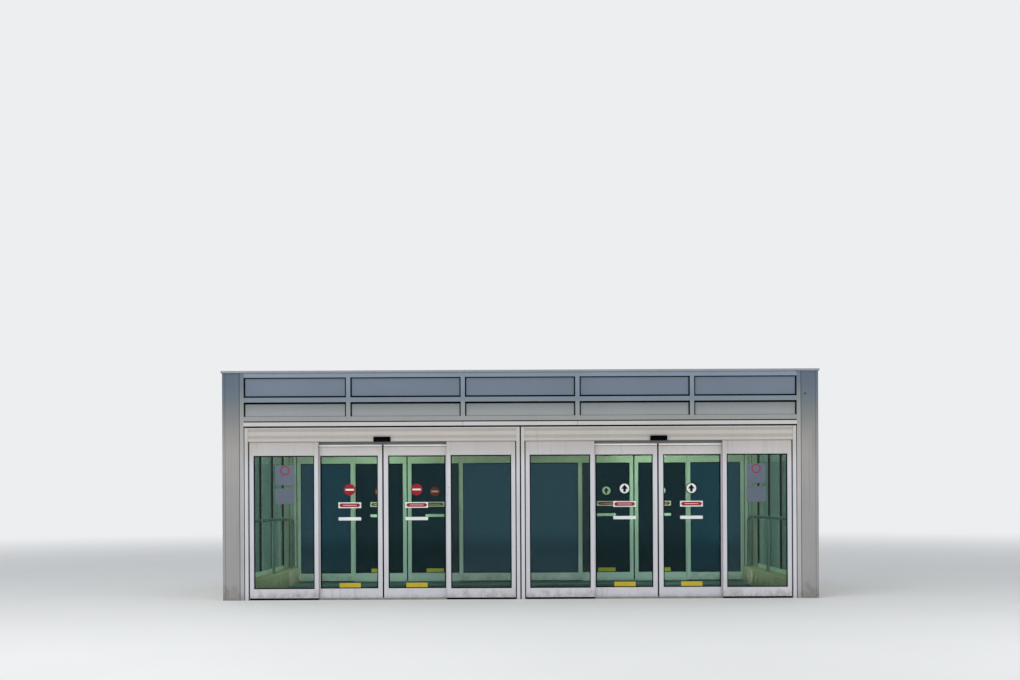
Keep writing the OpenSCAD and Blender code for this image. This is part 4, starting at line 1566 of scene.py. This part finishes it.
@dataclass
class Inside:
    """Floor, mat, plinths, ceiling and lights.

    Args:
        mat: Half the width and half the depth of the mat.
        mat_z: Height of its underside and of its top.
        edge: Width of the angle round it.
        pitch: Distance between two ribs of the mat.
        groove: Half the width of the groove between two ribs.
        crown: How much lower a rib is at its sides than in its middle.
        lower: How much lower its middle is than the angle.
        base: Thickness of the base under the ribs.
        sunk: Depth to which a rib stands in the base.
        plank: One joint between two planks of the ceiling, round Y 0.
        planks: Distance between two such joints, and Y of the last one.
        lights_y: Half the depth of a ceiling light, where no joints are.
        light: Half the length of a ceiling light.
        light_z: Height of the ceiling round it.
        light_frame: The section of its frame.
    """

    mat: Pair = (3.515, 1.460)
    mat_z: Pair = (0.012, 0.017)
    edge: float = 0.012
    pitch: float = 0.028
    groove: float = 0.003
    crown: float = 0.0014
    lower: float = 0.0002
    base: float = 0.0014
    sunk: float = 0.0004
    plank: Bar = ((-3.660, -0.002, 2.3796), (3.660, 0.002, 2.3805), 0.0001)
    planks: Pair = (0.150, 1.350)
    lights_y: float = 0.075
    light: float = 1.2
    light_z: float = 2.3797
    light_frame: Outline = ((-0.010, 0.0), (-0.010, -0.010), (-0.0005, -0.010), (-0.0005, 0.0))

    def build(self) -> None:
        """Dresses the inside and adds the ribs and joints."""
        dress(CONCRETE, "floor_slab")
        dress(STONE, "side_plinths")
        dress(MAT, "entrance_mat")
        dress(CEILING, "ceiling")
        dress(LENS, "ceiling_lights")
        mat = piece("mat_ribs", self.ribs(), MAT)
        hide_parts("entrance_mat")
        piece("mat_frame", self.mat_frame(), SILL)
        piece("ceiling_joints", self.ceiling_joints(), BEAM)
        piece("light_frames", self.light_frames(), SATIN)

    def ribs(self) -> Surface:
        """Crowned strips of pile side by side on a thin base.

        The top of a strip is a parabola across Y: its height falls from the
        middle with the square of the distance.
        """
        across = np.linspace(-1, 1, 7)
        low, high = self.mat_z
        top = high - self.lower - self.crown * across ** 2
        width, foot = self.pitch / 2 - self.groove, low + self.base - self.sunk
        outline = [(-width, foot), *zip(across * width, top), (width, foot)]
        half_x, half_y = (size - self.edge for size in self.mat)
        strip = run(outline, Axis.X, -half_x, half_x)
        y = np.arange(-half_y + width, half_y - width, self.pitch)
        y += (half_y - width - y[-1]) / 2
        base = bar((-half_x, -half_y, low), (half_x, half_y, low + self.base), 0.0002)
        return join([base, strip.along(Axis.Y, y)])

    def mat_frame(self) -> Surface:
        """Metal angle round the mat, bevelled on its outer side."""
        low, high = self.mat_z
        profile = [(0.0, low), (0.005, high), (self.edge, high), (self.edge, low)]
        return mitred(profile, (-self.mat[0], -self.mat[1]), self.mat, Axis.Z, 0.0)

    def ceiling_joints(self) -> Surface:
        """Dark joints between the ceiling's planks, along X."""
        step, last = self.planks
        y = np.arange(-last, last + 0.001, step)
        return bar(*self.plank).along(Axis.Y, y[np.abs(y) > self.lights_y])

    def light_frames(self) -> Surface:
        """Slim metal frame round each ceiling light."""
        return join(mitred(self.light_frame, (x - self.light, -self.lights_y),
                           (x + self.light, self.lights_y), Axis.Z, self.light_z)
                    for x in PLAN.centres)


@dataclass
class Roof:
    """Roof, coping and their seams.

    Args:
        laps: X of the seams of the roof felt.
        lap: A welded lap of the felt, a flat strip along Y.
        coping: Width of the coping.
        over: Overhang of the coping.
        straps: X of the joints of the coping.
        strap: Half the width of the strap over such a joint.
        edge: Distance of its outer edge from that of the coping.
        thick: Thickness of the strap above the coping.
        sunk: Depth to which it stands in the coping and past its inner edge.
        crest: Height of the coping above the wall at its outer edge.
        fall: How much lower it is at its inner edge.
    """

    laps: tuple[float, ...] = (-3.15, -2.10, -1.05, 0.0, 1.05, 2.10, 3.15)
    lap: Bar = ((-0.045, -1.50, PLAN.height + 0.0008), (0.045, 1.50, PLAN.height + 0.0032), 0.001)
    coping: float = 0.165
    over: float = 0.015
    straps: tuple[float, ...] = (-2.4, 0.0, 2.4)
    strap: float = 0.04
    edge: float = 0.022
    thick: float = 0.0008
    sunk: float = 0.001
    crest: float = 0.028
    fall: float = 0.008

    def build(self) -> None:
        """Dresses the roof and the coping and adds their seams."""
        dress(ROOF, "roof_deck")
        dress(COPING, "roof_coping")
        piece("roof_laps", join([self.skin(), bar(*self.lap).along(Axis.X, self.laps)]), ROOF)
        piece("coping_joints", self.joints(), COPING)

    def skin(self) -> Surface:
        """Roof felt over the deck and the heads of the posts, up to the coping."""
        x, y = (size + self.over - self.coping - 0.0005 for size in (PLAN.post, PLAN.half_depth))
        return bar((-x, -y, PLAN.height + 0.0002), (x, y, PLAN.height + 0.0010), 0.0003)

    def joints(self) -> Surface:
        """Flat cover straps over the joints of the coping, which follow its fall."""
        start, p, q, d = -PLAN.half_depth - self.over, self.edge, self.coping, self.sunk
        a, b = (PLAN.height + self.crest - self.fall * y / self.coping for y in (p, q))
        corners = [(p, a - d), (p, a + self.thick), (q + d, b + self.thick),
                   (q + d, PLAN.height + d), (q - d, PLAN.height + d), (q - d, b - d)]
        strap = run([(start + y, z) for y, z in corners], Axis.X, -self.strap, self.strap)
        return strap.along(Axis.X, self.straps).both(Axis.Y)


# Light and camera


@dataclass(frozen=True)
class Lamp:
    """A soft rectangular lamp, seen only by its light.

    Args:
        name: Its name.
        place: Where it hangs.
        aim: The point that it looks at.
        size: Its width and height.
        power: Its power in watts.
        colour: Its colour.
    """

    name: str
    place: Point
    aim: Point
    size: Pair
    power: float
    colour: Point = (1.0, 1.0, 1.0)

    def build(self) -> None:
        """Hangs the lamp, with its own -Z towards the aim."""
        data = bpy.data.lights.new(self.name, "AREA")
        data.shape, data.size, data.size_y = "RECTANGLE", *self.size
        data.energy, data.color = self.power, self.colour
        lamp = bpy.data.objects.new(self.name, data)
        lamp.location = self.place
        turn = (Vector(self.aim) - Vector(self.place)).to_track_quat("-Z", "Y")
        lamp.rotation_euler = turn.to_euler()
        lamp.visible_camera = lamp.visible_glossy = lamp.visible_transmission = False
        bpy.context.scene.collection.objects.link(lamp)


@dataclass
class Studio:
    """Floor, soft light and the camera of the photograph.

    Args:
        eye: Place of the camera.
        lens: Its focal length in millimetres, on a 36 mm frame.
        shift: Its shift to the side and up, as shares of the picture's width.
        roll: Its roll in degrees.
        sky: Strength of the world's light.
        sky_tone: Colour of that light.
        pale: Colour of the background.
        ground: Colour of the floor.
        fade: Distances at which the floor starts and ends to fade into the background.
    """

    eye: Point = (0.0, -16.63, 1.308)
    lens: float = 39.70
    shift: Pair = (-0.0104, 0.1577)
    roll: float = 0.27
    sky: float = 0.82
    sky_tone: Colour = (242, 246, 252)
    pale: Colour = (236, 238, 240)
    ground: Colour = (214, 214, 212)
    fade: Pair = (9.0, 34.0)

    def build(self) -> None:
        """Sets the world, the floor, the lamps and the camera."""
        self.world()
        self.floor()
        for lamp in self.lamps():
            lamp.build()
        self.camera()
        bpy.context.scene.view_settings.view_transform = "Standard"

    def lamps(self) -> Iterable[Lamp]:
        """Two lamps before the front, and five inside for each door set."""
        yield Lamp("key", (-5.0, -9.0, 7.5), (0.0, -1.7, 1.4), (9.0, 6.0), 520.0)
        yield Lamp("fill", (7.0, -8.0, 4.0), (0.5, -1.7, 1.2), (6.0, 5.0), 160.0)
        for index, x in enumerate(PLAN.centres):
            wall = math.copysign(3.7, x)
            yield Lamp(f"indoor_{index}", (x, 0.15, 2.28), (x, 1.5, 1.85), (2.6, 0.10), 40.0,
                       (1.0, 0.90, 0.60))
            yield Lamp(f"indoor_out_{index}", (x, -0.15, 2.28), (x, -1.5, 1.2), (2.6, 0.10), 14.0,
                       (1.0, 0.93, 0.62))
            yield Lamp(f"indoor_low_{index}", (x, 0.75, 0.10), (x, 1.5, 0.11), (3.4, 0.14), 12.0,
                       (1.0, 0.84, 0.94))
            yield Lamp(f"indoor_mid_{index}", (x, -0.9, 0.9), (x, 1.5, 0.9), (3.2, 0.5), 3.0,
                       (1.0, 0.90, 0.86))
            yield Lamp(f"indoor_side_{index}", (x, -0.2, 1.5), (wall, 0.3, 1.4), (2.4, 1.4), 62.0,
                       (0.92, 1.0, 0.80))

    def world(self) -> None:
        """A pale sky: one strength for what is seen and one for its light."""
        world = bpy.data.worlds.new("studio_sky")
        world.use_nodes = True
        bpy.context.scene.world = world
        world.node_tree.nodes.clear()
        graph = Graph(world.node_tree)
        path = graph.add("LightPath").outputs
        seen = graph.math("MAXIMUM", path["Is Camera Ray"],
                          graph.math("MAXIMUM", path["Is Glossy Ray"],
                                     path["Is Transmission Ray"]))
        light, shown = (
            graph.add("Background", {"Color": linear(tone), "Strength": strength}).outputs[0]
            for tone, strength in ((self.sky_tone, self.sky), (self.pale, 1.0)))
        mixed = graph.add("MixShader", {0: seen, 1: light, 2: shown}).outputs[0]
        graph.add("OutputWorld", {"Surface": mixed})

    def floor(self) -> None:
        """A wide pale disc that fades into the sky's colour far out."""
        disc = lathe([(60.0, 0.0), (60.0, -0.02)], (0, 0, -0.0005), Axis.Z, 96)
        material = bpy.data.materials.new("studio_floor")
        material.use_nodes = True
        graph, nodes = Graph(material.node_tree), material.node_tree.nodes
        shader = nodes["Principled BSDF"]
        tone = mottle(graph, base=linear(self.ground), scale=0.8, amount=0.01)
        graph.feed(shader, {"Base Color": tone, "Roughness": 0.9, "Specular IOR Level": 0.1})
        reach = graph.add("VectorMath", {0: graph.place((1, 1, 0))}, operation="LENGTH")
        glow = graph.add("Emission", {"Color": linear(self.pale)}).outputs[0]
        far = graph.fit(reach.outputs["Value"], *self.fade)
        mixed = graph.add("MixShader", {0: far, 1: shader.outputs[0], 2: glow}).outputs[0]
        graph.feed(nodes["Material Output"], {"Surface": mixed})
        mesh = bpy.data.meshes.new("studio_floor")
        mesh.from_pydata(disc.points.tolist(), [], [f.tolist() for group in disc.faces
                                                    for f in group])
        mesh.materials.append(material)
        built = bpy.data.objects.new("studio_floor", mesh)
        bpy.context.scene.collection.objects.link(built)

    def camera(self) -> None:
        """The camera, level and square to the front."""
        data = bpy.data.cameras.new("camera")
        data.sensor_width, data.lens = 36.0, self.lens
        data.shift_x, data.shift_y = self.shift
        data.clip_end = 200.0
        camera = bpy.data.objects.new("camera", data)
        camera.location = self.eye
        camera.rotation_euler = (math.radians(90), math.radians(self.roll), 0)
        bpy.context.scene.collection.objects.link(camera)
        bpy.context.scene.camera = camera


def main() -> None:
    """Builds the lobby piece by piece, then the studio."""
    logging.basicConfig(level=logging.INFO, format="%(message)s")
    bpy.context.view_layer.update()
    for row in (0, 1):
        for use in Use:
            for hand in Hand:
                Leaf(row, use, hand).build()
    for part in (Sidelites(), Headers(), Band(), Posts(), GuardRails(), Inside(), Roof(),
                 Studio()):
        part.build()


if __name__ == "__main__":
    main()
